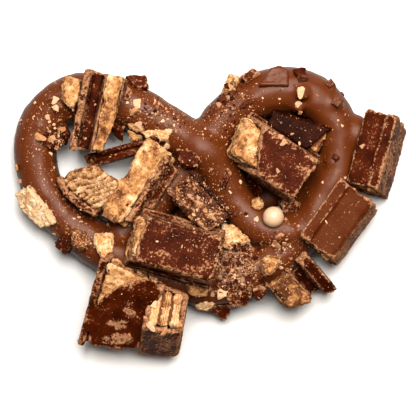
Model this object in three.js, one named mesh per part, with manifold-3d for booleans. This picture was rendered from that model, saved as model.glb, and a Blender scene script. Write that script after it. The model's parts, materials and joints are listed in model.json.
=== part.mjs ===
// Chocolate-dipped pretzel topped with broken pieces of a chocolate-covered wafer bar.
// Millimetres, +Z up. It lies on z = 0, with +X to the right and +Y to the top of the heart,
// and the origin under the middle of its box.

import * as THREE from 'three';
import { mergeVertices } from 'three/addons/utils/BufferGeometryUtils.js';
import { SimplexNoise } from 'three/addons/math/SimplexNoise.js';
import { ConvexGeometry } from 'three/addons/geometries/ConvexGeometry.js';
import Module from 'manifold-3d';

const wasm = await Module();
wasm.setup();

// Driving dimensions

const clearance = 0.32;         // free gap between pieces that touch
const ropeSides = 12;           // sides of the pretzel's rope
const ropeSteps = 46;           // steps along each half of the rope
const ropeRoundness = 0.035;    // share by which the coating's thickness wanders
const coatLift = 0.25;          // how far the underside of a topping sits over the rope

const bar = {
  base: 16,                     // width across the broken web at the foot of a finger
  waist: 13.8,                  // width just above the web
  top: 12,                      // width of a finger's top face
  height: 10.5,
  web: 2.9,                     // height of the web that joined two fingers
  coat: 1.6,                    // thickness of the chocolate
  shoulder: 0.7,                // bevel along the top edges
};
const sheet = 1.9;              // one wafer sheet
const cream = 0.8;              // one cream layer
const creamInset = 0.35;        // how far the cream stays back from the sheets' edges

const milkChocolate = 0x6b3a20;
const barChocolate = 0x4a2413;
const wafer = 0xd9a66c;
const creamyWhite = 0xf3e2c4;

// Seeded randomness

function randomStream(seed) {
  let state = seed;
  return () => {
    state = (state * 1664525 + 1013904223) % 4294967296;
    return state / 4294967296;
  };
}

const noise = new SimplexNoise({ random: randomStream(11) });

// Vectors and placements

const rad = THREE.MathUtils.degToRad;

function pose(at, yaw = 0, pitch = 0, roll = 0) {
  const turn = new THREE.Euler(rad(roll), rad(pitch), rad(yaw), 'ZYX');
  const place = new THREE.Matrix4().makeRotationFromEuler(turn);
  return place.setPosition(...at);
}

// Leans a level piece over: it turns by `angle` about a level line that points along `heading`.
function lean(at, heading, angle) {
  const axis = new THREE.Vector3(Math.cos(rad(heading)), Math.sin(rad(heading)), 0);
  return new THREE.Matrix4().makeRotationAxis(axis, rad(angle)).setPosition(...at);
}

// Solids

function solidOf(geometry, place = null) {
  const shape = geometry.clone();
  shape.deleteAttribute('normal');
  shape.deleteAttribute('uv');
  if (place) {
    shape.applyMatrix4(place);
  }
  const merged = mergeVertices(shape, 1e-4);
  return new wasm.Manifold(new wasm.Mesh({
    numProp: 3,
    vertProperties: new Float32Array(merged.attributes.position.array),
    triVerts: new Uint32Array(merged.index.array),
  }));
}

function geometryOf(solid) {
  const mesh = solid.getMesh();
  const geometry = new THREE.BufferGeometry();
  const points = new Float32Array(mesh.numVert * 3);
  for (let i = 0; i < mesh.numVert; i += 1) {
    points.set(mesh.vertProperties.slice(i * mesh.numProp, i * mesh.numProp + 3), i * 3);
  }
  geometry.setAttribute('position', new THREE.BufferAttribute(points, 3));
  geometry.setIndex(new THREE.BufferAttribute(new Uint32Array(mesh.triVerts), 1));
  geometry.computeVertexNormals();
  return geometry;
}

function joined(solids) {
  return solids.reduce((whole, next) => whole.add(next));
}

function largestBody(solid) {
  const bodies = solid.decompose();
  return bodies.reduce((best, next) => (next.volume() > best.volume() ? next : best));
}

// Moves the vertices of a closed shape by smooth noise, the same way at the same place.
function roughened(geometry, amount, grain, seed) {
  const shape = geometry.clone();
  shape.deleteAttribute('normal');
  shape.deleteAttribute('uv');
  const merged = mergeVertices(shape, 1e-4);
  const points = merged.attributes.position;
  const p = new THREE.Vector3();
  for (let i = 0; i < points.count; i += 1) {
    p.fromBufferAttribute(points, i);
    const at = p.clone().divideScalar(grain).addScalar(seed * 7.3);
    p.x += amount * noise.noise3d(at.x, at.y, at.z);
    p.y += amount * noise.noise3d(at.y + 31, at.z, at.x);
    p.z += amount * noise.noise3d(at.z, at.x + 57, at.y);
    points.setXYZ(i, p.x, p.y, p.z);
  }
  return merged;
}

// A straight solid along X whose section is a list of [y, z] points.
function prism(section, from, to, steps = 1) {
  const outline = new THREE.Shape(section.map(([y, z]) => new THREE.Vector2(y, z)));
  const geometry = new THREE.ExtrudeGeometry(outline, { depth: to - from, steps, bevelEnabled: false });
  const alongX = new THREE.Matrix4().makeBasis(
    new THREE.Vector3(0, 1, 0),
    new THREE.Vector3(0, 0, 1),
    new THREE.Vector3(1, 0, 0),
  );
  return geometry.applyMatrix4(alongX).translate(from, 0, 0);
}

// A break: everything past `at` on one side of an axis is taken off along a rough, leaning face.
const breakSize = 26;
const breakDepth = 16;
const breakCells = 5;

function breakFace(cut, gap = 0) {
  const { axis, at, side, tilt = 0, swing = 0, rough = 0.9, seed = 1 } = cut;
  const block = new THREE.BoxGeometry(breakDepth, breakSize, breakSize, 1, breakCells, breakCells);
  block.translate(breakDepth / 2, 0, 0);
  const face = roughened(block, rough, 3.1, seed);
  const place = new THREE.Matrix4();
  const facing = new THREE.Vector3();
  facing[axis] = side;
  place.makeRotationFromQuaternion(
    new THREE.Quaternion().setFromUnitVectors(new THREE.Vector3(1, 0, 0), facing),
  );
  const turnAxes = { x: ['y', 'z'], y: ['x', 'z'], z: ['x', 'y'] }[axis];
  const turn = new THREE.Vector3();
  turn[turnAxes[0]] = rad(tilt);
  turn[turnAxes[1]] = rad(swing);
  place.premultiply(new THREE.Matrix4().makeRotationFromEuler(new THREE.Euler(turn.x, turn.y, turn.z)));
  const offset = new THREE.Vector3();
  offset[axis] = at + side * gap;
  place.setPosition(offset);
  return solidOf(face, place);
}

// Sections of the bar

function mirrored(right) {
  return [...right, ...right.map(([y, z]) => [-y, z]).reverse()];
}

// One finger of the bar, grown on every side by `gap`.
function fingerSection(gap = 0) {
  const half = bar.height / 2;
  const step = 0.35;
  return mirrored([
    [bar.base / 2 + gap, -half - gap],
    [bar.base / 2 - 0.15 + gap, -half + bar.web + gap],
    [bar.waist / 2 + gap, -half + bar.web + step + gap],
    [bar.top / 2 + 0.1 + gap, half - bar.shoulder + gap / 2],
    [bar.top / 2 - bar.shoulder + gap / 2, half + gap],
  ]);
}

// The core: three wafer sheets with two cream layers, the cream set back a little.
const coreHalf = (3 * sheet + 2 * cream) / 2;

function coreWall(z) {
  return bar.waist / 2 - bar.coat + 0.25 - (z + coreHalf) * 0.16;
}

function coreSection() {
  const right = [];
  let z = -coreHalf;
  [sheet, cream, sheet, cream, sheet].forEach((thickness, layer) => {
    const inset = layer % 2 ? creamInset : 0;
    right.push([coreWall(z) - inset, z], [coreWall(z + thickness) - inset, z + thickness]);
    z += thickness;
  });
  return mirrored(right.map(([y, level], i) => [y, level + (i % 2 ? -0.02 : 0.02)]));
}

// The room for the core: its outline without the steps between its layers.
function coreRoomSection() {
  const rise = coreHalf + clearance;
  return mirrored([
    [coreWall(-coreHalf) + clearance, -rise],
    [coreWall(coreHalf) + clearance, rise],
  ]);
}

const finger = fingerSection();
const core = coreSection();
const coreRoom = coreRoomSection();

// The valley between two fingers: a low web with a ridge on each side of a groove.
function valleySection({ east, groove, west, ridge, low, floor }) {
  const width = east + groove + west;
  const start = -width / 2;
  return {
    coat: [
      [start, 0],
      [start + width, 0],
      [start + width - 0.3, low],
      [start + east + groove + 0.5, low],
      [start + east + groove - 0.2, floor],
      [start + east + 0.4, floor],
      [start + east - 0.5, ridge],
      [start + 0.4, ridge - 0.3],
    ],
    block: [
      [start - clearance, -clearance],
      [start + width + clearance, -clearance],
      [start + width + clearance, low + clearance],
      [start + east, ridge + clearance],
      [start - clearance, ridge + clearance],
    ],
    wafer: [
      [start + 1.1, floor],
      [start + east - 1.2, floor],
      [start + east - 1.3, ridge + 0.7],
      [start + 1.2, ridge + 0.7],
    ],
  };
}

// Pretzel rope, as [x, y, height of its middle, radius]

const leftHalf = [
  [20.6, -4.9, 6.8, 5.2],
  [13.2, -3.9, 6.0, 5.5],
  [6.5, 2.9, 5.0, 5.4],
  [2.3, 10.7, 5.8, 5.8],
  [-1.9, 16.8, 7.8, 5.9],
  [-8.0, 20.8, 6.0, 5.9],
  [-14.6, 24.9, 5.0, 6.0],
  [-22.6, 29.1, 5.1, 6.4],
  [-30.8, 31.4, 5.2, 6.6],
  [-38.9, 30.4, 5.1, 6.3],
  [-45.2, 25.0, 4.9, 5.9],
  [-47.4, 16.6, 4.8, 5.7],
  [-45.6, 7.4, 4.8, 5.6],
  [-39.6, -0.9, 4.8, 5.7],
  [-31.4, -7.7, 4.8, 6.3],
  [-21.9, -13.4, 4.7, 5.9],
  [-12.4, -17.4, 4.7, 5.5],
  [-3.2, -19.2, 4.7, 4.6],
];
const rightHalf = [
  [-9.4, -18.4, 4.7, 4.4],
  [-1.6, -19.4, 4.7, 5.6],
  [8.2, -17.2, 4.8, 5.9],
  [18.4, -11.2, 4.9, 5.9],
  [26.4, -2.7, 4.8, 6.1],
  [31.5, 6.0, 4.8, 6.0],
  [34.1, 15.3, 4.8, 5.4],
  [33.1, 24.4, 4.9, 5.6],
  [28.1, 30.8, 5.1, 6.1],
  [21.0, 33.0, 5.3, 6.5],
  [13.4, 31.9, 5.2, 6.4],
  [7.2, 28.4, 5.0, 6.0],
  [2.2, 23.6, 4.9, 5.8],
  [-2.2, 18.0, 4.8, 5.7],
  [-6.6, 12.2, 4.8, 5.6],
  [-12.3, 5.8, 4.8, 5.5],
  [-18.9, -0.4, 5.4, 5.4],
  [-24.6, -5.6, 6.6, 5.0],
];

// Chocolate that pooled in the corners between the strands, as middles and half sizes
const pools = [
  { at: [4.8, -10.6, 3.6], size: [8.6, 6.6, 5.6] },
  { at: [-2.2, 19.6, 5.6], size: [8.6, 6.2, 5.4] },
  { at: [-2.6, 12.4, 4.6], size: [6.0, 5.2, 5.0] },
  { at: [21.8, -2.6, 4.4], size: [5.4, 4.8, 5.4] },
  { at: [39.0, 21.0, 5.0], size: [3.4, 5.6, 4.6] },
  { at: [-9.8, 1.4, 1.6], size: [7.2, 8.2, 3.0] },
  { at: [12.4, 7.0, 0.4], size: [9.0, 6.4, 1.7] },
];

function ropeHalf(route, gap, seed) {
  const middle = new THREE.CatmullRomCurve3(route.map(([x, y, z]) => new THREE.Vector3(x, y, z)));
  const thickness = new THREE.CatmullRomCurve3(route.map((stop) => new THREE.Vector3(stop[3], 0, 0)));
  middle.curveType = 'catmullrom';
  thickness.curveType = 'catmullrom';
  const up = new THREE.Vector3(0, 0, 1);
  const rope = new THREE.CapsuleGeometry(1, 2, 3, ropeSides, ropeSteps);
  rope.deleteAttribute('normal');
  rope.deleteAttribute('uv');
  const merged = mergeVertices(rope, 1e-5);
  const points = merged.attributes.position;
  for (let i = 0; i < points.count; i += 1) {
    const along = THREE.MathUtils.clamp(points.getY(i), -1, 1);
    const cap = points.getY(i) - along;
    const t = (along + 1) / 2;
    const centre = middle.getPoint(t);
    const forward = middle.getTangent(t).setZ(0).normalize();
    const side = new THREE.Vector3().crossVectors(forward, up);
    const radius = thickness.getPoint(t).x + gap;
    const across = points.getX(i);
    const rise = points.getZ(i);
    const wander = noise.noise3d(centre.x / 7 + across * 0.8, centre.y / 7 + rise * 0.8, seed);
    const reach = radius * (1 + ropeRoundness * wander);
    centre.addScaledVector(forward, cap * reach);
    centre.addScaledVector(side, across * reach);
    centre.addScaledVector(up, rise * reach);
    points.setXYZ(i, centre.x, centre.y, centre.z);
  }
  return solidOf(merged);
}

const underFloor = (level) => solidOf(
  new THREE.BoxGeometry(200, 200, 40),
  new THREE.Matrix4().makeTranslation(0, 0, level - 20),
);

function pretzelSolid(gap) {
  const puddles = pools.map(({ at, size }) => {
    const drop = new THREE.SphereGeometry(1, 10, 6);
    drop.scale(size[0] + gap, size[1] + gap, size[2] + gap);
    return solidOf(drop, new THREE.Matrix4().makeTranslation(...at));
  });
  const rope = joined([ropeHalf(leftHalf, gap, 1.7), ropeHalf(rightHalf, gap, 4.2), ...puddles]);
  return largestBody(rope.subtract(underFloor(gap > 0 ? -5 : 0)));
}

const pretzelBody = pretzelSolid(0);
const pretzelRoom = pretzelSolid(clearance);
const pretzelMesh = new THREE.Mesh(geometryOf(pretzelBody));
const down = new THREE.Vector3(0, 0, -1);

// Height of the coating at a place seen from above, or the floor beside it.
function coatingAt(x, y) {
  const ray = new THREE.Raycaster(new THREE.Vector3(x, y, 60), down);
  const hit = ray.intersectObject(pretzelMesh)[0];
  return hit ? hit.point.z : 0;
}

// Pieces: each has a placement, its layers as solids in place, and the room it takes

const pieces = [];

function addPiece(place, layers, room) {
  pieces.push({ place, layers, room });
}

// A length of one finger. Coat and wafer have their own breaks; splits go through both.
function fingerPiece(name, place, breaks) {
  const { coatEnds, waferEnds, splits = [], scoops = [], carve = null, stub = null } = breaks;
  const from = Math.min(coatEnds[0].at, waferEnds[0].at) - 6;
  const to = Math.max(coatEnds[1].at, waferEnds[1].at) + 6;
  const cutBy = (solid, cuts, gap) => cuts.reduce((rest, cut) => rest.subtract(breakFace(cut, gap)), solid);
  const coatCuts = [...coatEnds, ...splits];
  const waferCuts = [...waferEnds, ...splits];
  const cavity = solidOf(prism(coreRoom, from - 1, to + 1));
  const shell = solidOf(prism(finger, from, to)).subtract(cavity);
  const skinned = carve ? shell.subtract(carve) : shell;
  const broken = cutBy(skinned, [...coatCuts, ...scoops], 0);
  const coat = stub ? broken.add(solidOf(stub)) : broken;
  const inside = cutBy(solidOf(prism(core, from, to)), waferCuts, 0);
  const roomForCoat = cutBy(solidOf(prism(fingerSection(clearance), from, to)), coatCuts, clearance);
  const roomForWafer = cutBy(solidOf(prism(coreRoom, from, to)), waferCuts, clearance);
  const room = roomForCoat.add(roomForWafer);
  addPiece(place, [
    { name: `${name}_coat`, solid: coat, color: barChocolate },
    { name: `${name}_wafer`, solid: inside, color: wafer },
  ], stub ? room.add(roomOf(stub)) : room);
}

function end(at, tilt = 0, seed = 1, rough = 0.8, swing = 0) {
  return { axis: 'x', at, side: Math.sign(at), tilt, swing, rough, seed };
}

function split(axis, at, side, seed = 1, rough = 0.7, tilt = 0, swing = 0) {
  return { axis, at, side, tilt, swing, rough, seed };
}

function valleyPiece(name, place, section, coatEnds, waferEnds, splits = []) {
  const { coat, block, wafer: strip } = valleySection(section);
  const from = coatEnds[0].at - 6;
  const to = coatEnds[1].at + 6;
  const cutBy = (solid, cuts, gap) => cuts.reduce((rest, cut) => rest.subtract(breakFace(cut, gap)), solid);
  const slot = solidOf(prism(strip.map(([y, z], i) => [
    y + (i === 0 || i === 3 ? -clearance : clearance),
    z + (i < 2 ? -clearance : 4),
  ]), from - 1, to + 1));
  const outer = cutBy(solidOf(prism(coat, from, to)).subtract(slot), [...coatEnds, ...splits], 0);
  const inside = cutBy(solidOf(prism(strip, from, to)), [...waferEnds, ...splits], 0);
  const room = cutBy(solidOf(prism(block, from, to)), [...coatEnds, ...splits], clearance);
  const wider = strip.map(([y, z], i) => [
    y + (i % 3 ? clearance : -clearance),
    z + (i < 2 ? -clearance : clearance),
  ]);
  const roomTop = cutBy(solidOf(prism(wider, from, to)), [...waferEnds, ...splits], clearance);
  addPiece(place, [
    { name: `${name}_coat`, solid: outer, color: barChocolate },
    { name: `${name}_wafer`, solid: inside, color: wafer },
  ], room.add(roomTop));
}

// A flat broken bit: an outline seen from above, its thickness, and a rough skin.
function plate(outline, thick, rough, seed, bevel = Math.min(0.35, thick * 0.3)) {
  const shape = new THREE.Shape(outline.map(([x, y]) => new THREE.Vector2(x, y)));
  const geometry = new THREE.ExtrudeGeometry(shape, {
    depth: thick * 0.5,
    steps: 1,
    bevelEnabled: true,
    bevelThickness: thick * 0.25,
    bevelSize: bevel,
    bevelOffset: -bevel,
    bevelSegments: 1,
  });
  geometry.translate(0, 0, -thick * 0.25);
  return roughened(geometry, rough, 1.7, seed);
}

function swollen(geometry, gap) {
  const wider = geometry.clone();
  wider.computeBoundingBox();
  const size = wider.boundingBox.getSize(new THREE.Vector3());
  const centre = wider.boundingBox.getCenter(new THREE.Vector3());
  wider.translate(-centre.x, -centre.y, -centre.z);
  wider.scale(1 + (2.2 * gap) / size.x, 1 + (2.2 * gap) / size.y, 1 + (2.2 * gap) / size.z);
  return wider.translate(centre.x, centre.y, centre.z);
}

// The room that a small piece takes: the convex shape round it, and the gap.
function roomOf(geometry) {
  const points = geometry.attributes.position;
  const corners = Array.from({ length: points.count }, (_, i) => (
    new THREE.Vector3().fromBufferAttribute(points, i)
  ));
  return solidOf(swollen(new ConvexGeometry(corners), clearance));
}

let shardCount = 0;

// `at` is [x, y] for a bit that lies on the coating, or [x, y, z].
function shard(name, color, at, outline, thick, { heading = 0, slope = 0, rough = 0.22 } = {}) {
  shardCount += 1;
  const geometry = plate(outline, thick, rough, shardCount);
  const level = at.length > 2 ? at[2] : coatingAt(at[0], at[1]) + coatLift + thick * 0.4;
  const place = lean([at[0], at[1], level], heading, slope);
  addPiece(place, [{ name, solid: solidOf(geometry), color }], roomOf(geometry));
}

function smallPiece(name, color, place, geometry) {
  addPiece(place, [{ name, solid: solidOf(geometry), color }], roomOf(geometry));
}

// Blocks of the bar, each the one that lies deepest first

fingerPiece('centre_block', pose([-8.6, -9.3, 16.2], -15.8, 0, 0), {
  coatEnds: [end(-11.7, 17, 3), end(10.3, 0, 5)],
  waferEnds: [end(-12.6, 19, 8), end(9.9, 0, 9, 0.5)],
});

fingerPiece('loop_block', pose([15.6, 14.8, 12.9], -33, 3, -2), {
  coatEnds: [end(-6.6, 30, 12, 0.9, 20), end(10.7, 0, 14)],
  waferEnds: [end(-10.4, 16, 15, 0.8, 6), end(10.2, 0, 16, 0.5)],
  splits: [split('y', -6.6, -1, 18, 0.6)],
});

// The web side is up: its skin stays only inside an arc, and the wafer shows round it
const skinArc = { centre: [-4.8, 10.4], radius: 16.6 };
const skinWindow = { from: [-14, -6.3, -6], to: [16, 9, -3.5] };

function skinBreak() {
  const { from, to } = skinWindow;
  const size = to.map((value, i) => value - from[i]);
  const box = new THREE.BoxGeometry(...size);
  box.translate(from[0] + size[0] / 2, from[1] + size[1] / 2, from[2] + size[2] / 2);
  const disc = new THREE.CylinderGeometry(skinArc.radius, skinArc.radius, 8, 36);
  disc.rotateX(Math.PI / 2);
  disc.translate(...skinArc.centre, -5);
  return solidOf(box).subtract(solidOf(disc));
}

// A torn bit of the web that led to the next finger, as seen from the web's side
const tornWeb = [[3.5, 0], [9.6, 0], [10.2, 2.6], [6.6, 2.0]];
const webOverlap = 0.4;         // how far it reaches into the finger

function webStub() {
  const outline = new THREE.Shape(tornWeb.map(([x, y]) => new THREE.Vector2(x, y)));
  const torn = new THREE.ExtrudeGeometry(outline, { depth: bar.web * 0.9, bevelEnabled: false });
  return torn.translate(0, bar.base / 2 - webOverlap, -bar.height / 2);
}

fingerPiece('corner_block', pose([-24.3, -23.7, 9.4], 74, -24, 180), {
  coatEnds: [end(-11.0, 0, 21, 0.5, -12), end(11.4, -10, 23, 0.5, 6)],
  waferEnds: [end(-10.6, 0, 25, 0.5, -12), end(10.3, -10, 26, 0.4, 6)],
  carve: skinBreak(),
  stub: webStub(),
});

fingerPiece('standing_block', pose([-12.6, -28.6, 10.2], 80, -62, 90), {
  coatEnds: [end(-7.8, 0, 31, 0.4), end(7.4, 0, 33, 1.2)],
  waferEnds: [end(-7.4, 0, 35, 0.4), end(8.2, 0, 37, 1.0)],
  splits: [split('y', 6.9, 1, 38, 0.2)],
});

fingerPiece('east_block', pose([43.4, 15.9, 7.5], 74.7, 0, -106), {
  coatEnds: [end(-9.8, 0, 41, 0.7, 6), end(9.9, 0, 43, 0.7, 8)],
  waferEnds: [end(-9.5, 0, 45, 0.5), end(9.5, 0, 46, 0.5)],
  splits: [split('z', 3.9, 1, 47, 0.3)],
});

fingerPiece('shoulder_block', pose([34.1, -2.7, 9.3], 54, 0, 75), {
  coatEnds: [end(-9.3, 0, 51, 0.6, -5), end(9.0, 0, 53, 0.6, -6)],
  waferEnds: [end(-9.0, 0, 55, 0.5), end(8.7, 0, 56, 0.5)],
});

fingerPiece('cross_block', pose([-20.9, 8.8, 12.3], 57, 0, -20), {
  coatEnds: [end(-10.6, -10, 61, 0.8, 12), end(10.9, 8, 63, 0.8, -8)],
  waferEnds: [end(-11.6, -6, 65, 0.8, 10), end(11.2, 6, 67, 0.8)],
  splits: [split('y', 1.4, 1, 69, 1.0)],
  scoops: [split('z', 2.7, 1, 71, 0.8)],
});

fingerPiece('back_block', pose([21.6, 19.8, 6.2], -18, 0, 0), {
  coatEnds: [end(-7.0, 0, 73, 0.6), end(3.8, 12, 75, 0.7, -34)],
  waferEnds: [end(-6.6, 0, 77, 0.5), end(6.8, 8, 78, 0.7)],
  splits: [split('y', -2.6, -1, 80, 0.4)],
});

fingerPiece('rough_block', pose([-3.4, 2.4, 13.2], -46.5, 2, 90), {
  coatEnds: [end(-7.2, 0, 81, 0.8, 10), end(7.2, 0, 83, 0.9, -8)],
  waferEnds: [end(-7.4, 0, 85, 0.8, 8), end(7.5, 0, 87, 0.8, -8)],
  splits: [split('y', 2.4, 1, 88, 0.6), split('z', 4.1, 1, 89, 0.4)],
});

valleyPiece(
  'upper_valley',
  pose([-30.1, 26.7, 10.4], 78, -7, 0),
  { east: 6.0, groove: 3.1, west: 2.4, ridge: 6.6, low: 6.0, floor: 1.9 },
  [end(-10.1, 0, 91, 0.6), end(10.7, 0, 93, 0.7)],
  [end(-4.6, -30, 95, 0.8), end(10.5, 0, 97, 0.7)],
  [split('y', -4.6, -1, 98, 0.8, 0, -9)],
);

valleyPiece(
  'lower_valley',
  pose([22.4, -17.7, 4.8], -49, 24, 0),
  { east: 7.6, groove: 2.7, west: 3.8, ridge: 6.4, low: 6.6, floor: 1.6 },
  [end(-6.4, 0, 101, 0.7), end(4.6, 0, 103, 0.6, -24)],
  [end(-5.6, 0, 105, 0.7), end(5.0, 0, 107, 0.6, -24)],
);

// Wafer slab with a rim of chocolate along its lower left edge

const slabOutline = [
  [-8.4, 2.2], [-6.8, 4.0], [-2.3, 5.5], [1.0, 4.9], [3.9, 2.9], [6.0, 1.7],
  [7.8, -1.0], [6.9, -3.7], [3.9, -5.4], [0.6, -5.9], [-2.6, -3.6], [-6.4, -0.8],
];
const rimOutline = [
  [-9.6, 2.2], [-8.9, 2.5], [-6.9, -1.2], [-3.0, -4.2], [0.5, -6.4], [0.1, -7.5], [-3.7, -5.3], [-7.8, -2.0],
];
const slabPlace = lean([-31.0, 6.9, 11.0], 60, -9);
const slab = plate(slabOutline, 4.2, 0.45, 201);
const rim = plate(rimOutline, 4.8, 0.1, 202, 0.1);
const slabRoom = roomOf(slab);
addPiece(slabPlace, [
  { name: 'wafer_slab', solid: solidOf(slab), color: wafer },
  { name: 'wafer_slab_rim', solid: solidOf(rim).subtract(slabRoom), color: barChocolate },
], slabRoom.add(roomOf(rim)));

// Channelled strip of chocolate across the left loop

const strip = { length: 20.6, width: 3.7, height: 3.0, channel: 1.3, depth: 1.1 };
const stripSection = [
  [strip.width / 2, 0],
  [strip.width / 2 - 0.2, strip.height],
  [strip.channel / 2 + 0.2, strip.height],
  [strip.channel / 2 - 0.2, strip.height - strip.depth],
  [-strip.channel / 2 + 0.2, strip.height - strip.depth],
  [-strip.channel / 2 - 0.2, strip.height],
  [-strip.width / 2 + 0.2, strip.height],
  [-strip.width / 2, 0],
];
smallPiece(
  'channelled_strip',
  barChocolate,
  pose([-23.3, 16.6, 6.9], 15, -14, 0),
  prism(stripSection, -strip.length / 2, strip.length / 2, 5),
);

// A curl of chocolate: an open ring of a given radius and wall, rolled about X
function curl(radius, wall, length, sweep) {
  const outline = new THREE.Shape();
  outline.absarc(0, 0, radius, 0, rad(sweep), false);
  outline.absarc(0, 0, radius - wall, rad(sweep), 0, true);
  const section = outline.getPoints(6).map((p) => [p.x, p.y]);
  const first = section[0];
  const last = section[section.length - 1];
  if (Math.hypot(first[0] - last[0], first[1] - last[1]) < 1e-6) {
    section.pop();
  }
  return roughened(prism(section, -length / 2, length / 2, 2), 0.25, 1.6, radius * 10);
}

function curlPiece(name, place, radius, wall, length, sweep) {
  const bulk = new THREE.CylinderGeometry(radius + clearance, radius + clearance, length + 2 * clearance, 10);
  bulk.rotateZ(Math.PI / 2);
  addPiece(
    place,
    [{ name, solid: solidOf(curl(radius, wall, length, sweep)), color: barChocolate }],
    solidOf(bulk),
  );
}

curlPiece('rim_curl', pose([-38.3, -6.8, 7.0], 40, -35, 60), 3.0, 0.9, 4.6, 270);
curlPiece('loop_curl', pose([10.5, 6.4, 5.2], 70, -30, 150), 2.9, 1.0, 4.4, 250);

// White chip: a drop with a flat foot

const chip = { radius: 2.85, height: 3.9 };
const chipProfile = [
  [0, 0], [0.8, 0], [0.97, 0.16], [1, 0.34], [0.94, 0.55], [0.78, 0.76], [0.52, 0.92], [0.22, 0.99], [0, 1],
].map(([r, h]) => new THREE.Vector2(r * chip.radius, h * chip.height));
smallPiece(
  'white_chip',
  creamyWhite,
  pose([16.4, -0.9, coatingAt(16.4, -0.9) + coatLift + 0.4], 0, 0, 0),
  new THREE.LatheGeometry(chipProfile, 16).rotateX(Math.PI / 2),
);

// Loose flakes and lumps, from left to right

shard('west_flake', wafer, [-47.7, 2.0, 8.9], [
  [-4.8, 3.2], [-0.3, 5.6], [3.2, 1.9], [6.9, -3.8], [2.2, -6.0], [-2.9, -2.0],
], 1.6, { heading: -52, slope: 38 });
shard('rim_lump', wafer, [-35.2, -7.4], [
  [-2.0, 2.4], [1.4, 2.9], [2.9, 0.3], [1.6, -2.2], [-1.4, -2.0],
], 2.4, { heading: 150, slope: 12, rough: 0.4 });
shard('pale_flake', wafer, [-28.3, -8.7], [
  [-2.6, 3.3], [2.2, 3.5], [1.9, -1.0], [2.0, -3.8], [-1.1, -2.9], [-2.6, 0.7],
], 1.7, { heading: 150, slope: 10 });
shard('top_lump', wafer, [-37.2, 32.4], [
  [-2.4, 0.8], [-1.6, 4.0], [2.4, 3.0], [2.6, -1.1], [0.6, -4.4], [-2.2, -2.0],
], 3.2, { heading: 20, slope: -8, rough: 0.4 });
shard('top_chunk', barChocolate, [-19.9, 34.9, 8.0], [
  [-2.9, 1.9], [2.3, 1.8], [3.0, -1.7], [0.2, -2.3], [-2.7, 0.0],
], 3.0, { heading: 170, slope: 24, rough: 0.35 });
shard('top_shard', barChocolate, [-23.1, 32.7], [
  [-2.0, 2.2], [-0.4, 3.2], [2.1, -0.5], [1.2, -2.7], [-0.9, -2.2],
], 1.6, { slope: 6 });
shard('inner_flake', barChocolate, [-39.7, 21.6, 8.0], [
  [-1.8, 2.2], [0.6, 2.8], [2.0, -0.3], [0.6, -3.2], [-1.2, -1.4],
], 1.9, { heading: 110, slope: -20 });
shard('inner_chip', barChocolate, [-43.4, 19.3], [
  [-2.8, 1.4], [-0.4, 2.7], [3.2, 0.2], [2.9, -2.4], [-0.4, -1.5], [-2.5, -0.3],
], 1.5, { heading: 110, slope: -6 });
shard('pale_shard', wafer, [-13.9, 20.7], [
  [-4.8, 1.0], [4.0, 1.9], [2.4, -0.9], [-1.5, -2.0],
], 1.7, { heading: -150, slope: 8 });
shard('split_shard', wafer, [-19.6, 19.2, 8.6], [
  [-2.6, 3.0], [0.5, 1.6], [3.1, -2.0], [0.8, -2.2], [-1.9, -0.4],
], 1.6, { heading: -40, slope: 14 });
shard('thin_flake', wafer, [-19.8, 22.9], [
  [-2.6, 1.0], [0.6, 0.7], [2.5, -0.6], [-0.5, -1.1],
], 1.1, {});
shard('dark_shard', barChocolate, [-25.3, 21.9, 8.2], [
  [-1.6, 2.8], [1.8, 1.0], [1.5, -3.0], [-0.6, -1.0],
], 1.8, { heading: 0, slope: 30 });
shard('crossing_lump', barChocolate, [-6.3, 14.6], [
  [-2.7, 2.4], [0.7, 2.3], [3.2, 0.2], [2.4, -2.1], [-0.9, -2.6], [-2.8, -0.1],
], 3.2, { heading: 120, slope: 8, rough: 0.35 });
shard('crossing_flake', barChocolate, [3.8, 9.4], [
  [-1.2, -0.9], [0.3, 2.7], [1.6, 1.4], [-0.6, -3.0],
], 1.2, { heading: 60, slope: -18 });
shard('wedge', wafer, [5.9, -6.6], [
  [-3.6, 3.8], [-0.1, 3.5], [4.6, -0.7], [2.6, -1.5], [-0.7, -3.2], [-2.7, -1.8],
], 2.6, { heading: 130, slope: 8, rough: 0.35 });
shard('chip_side_flake', wafer, [12.3, 2.3], [
  [-2.4, 0.5], [0.6, 2.4], [1.5, 0.2], [-0.4, -2.0], [-2.1, -1.2],
], 1.8, { heading: 130, slope: -10 });
shard('chip_side_lump', barChocolate, [20.7, 2.1, 7.4], [
  [-2.2, 0.6], [-0.1, 2.4], [2.8, 0.8], [2.2, -1.2], [-0.4, -2.6],
], 2.4, { heading: 130, slope: -10, rough: 0.35 });
shard('ring_lump', wafer, [15.6, -13.4], [
  [-2.9, 0.2], [-0.4, 2.5], [3.1, 1.9], [1.8, -0.9], [-1.5, -3.5],
], 2.8, { heading: 140, slope: 14, rough: 0.4 });
shard('top_plate', milkChocolate, [16.8, 36.6], [
  [-4.4, -2.8], [-3.1, -1.2], [-1.2, 2.1], [1.2, 2.9], [3.6, 1.8], [3.8, -2.7],
], 1.5, { heading: 180, slope: 17 });
shard('top_square', barChocolate, [23.6, 37.5], [
  [-1.9, 1.2], [1.5, 1.5], [1.5, -1.1], [-1.0, -1.6],
], 1.7, { heading: 170, slope: 22 });
shard('notch_lump', wafer, [5.5, 34.3], [
  [-2.6, -2.5], [-0.7, 2.8], [2.5, 1.6], [0.8, -1.9],
], 3.2, { heading: -140, slope: 20, rough: 0.35 });
shard('top_lump_east', barChocolate, [10.4, 36.8], [
  [-2.6, -0.8], [0.7, 2.2], [2.7, 0.5], [-1.0, -2.2],
], 3.0, { heading: 200, slope: 18, rough: 0.35 });
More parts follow.
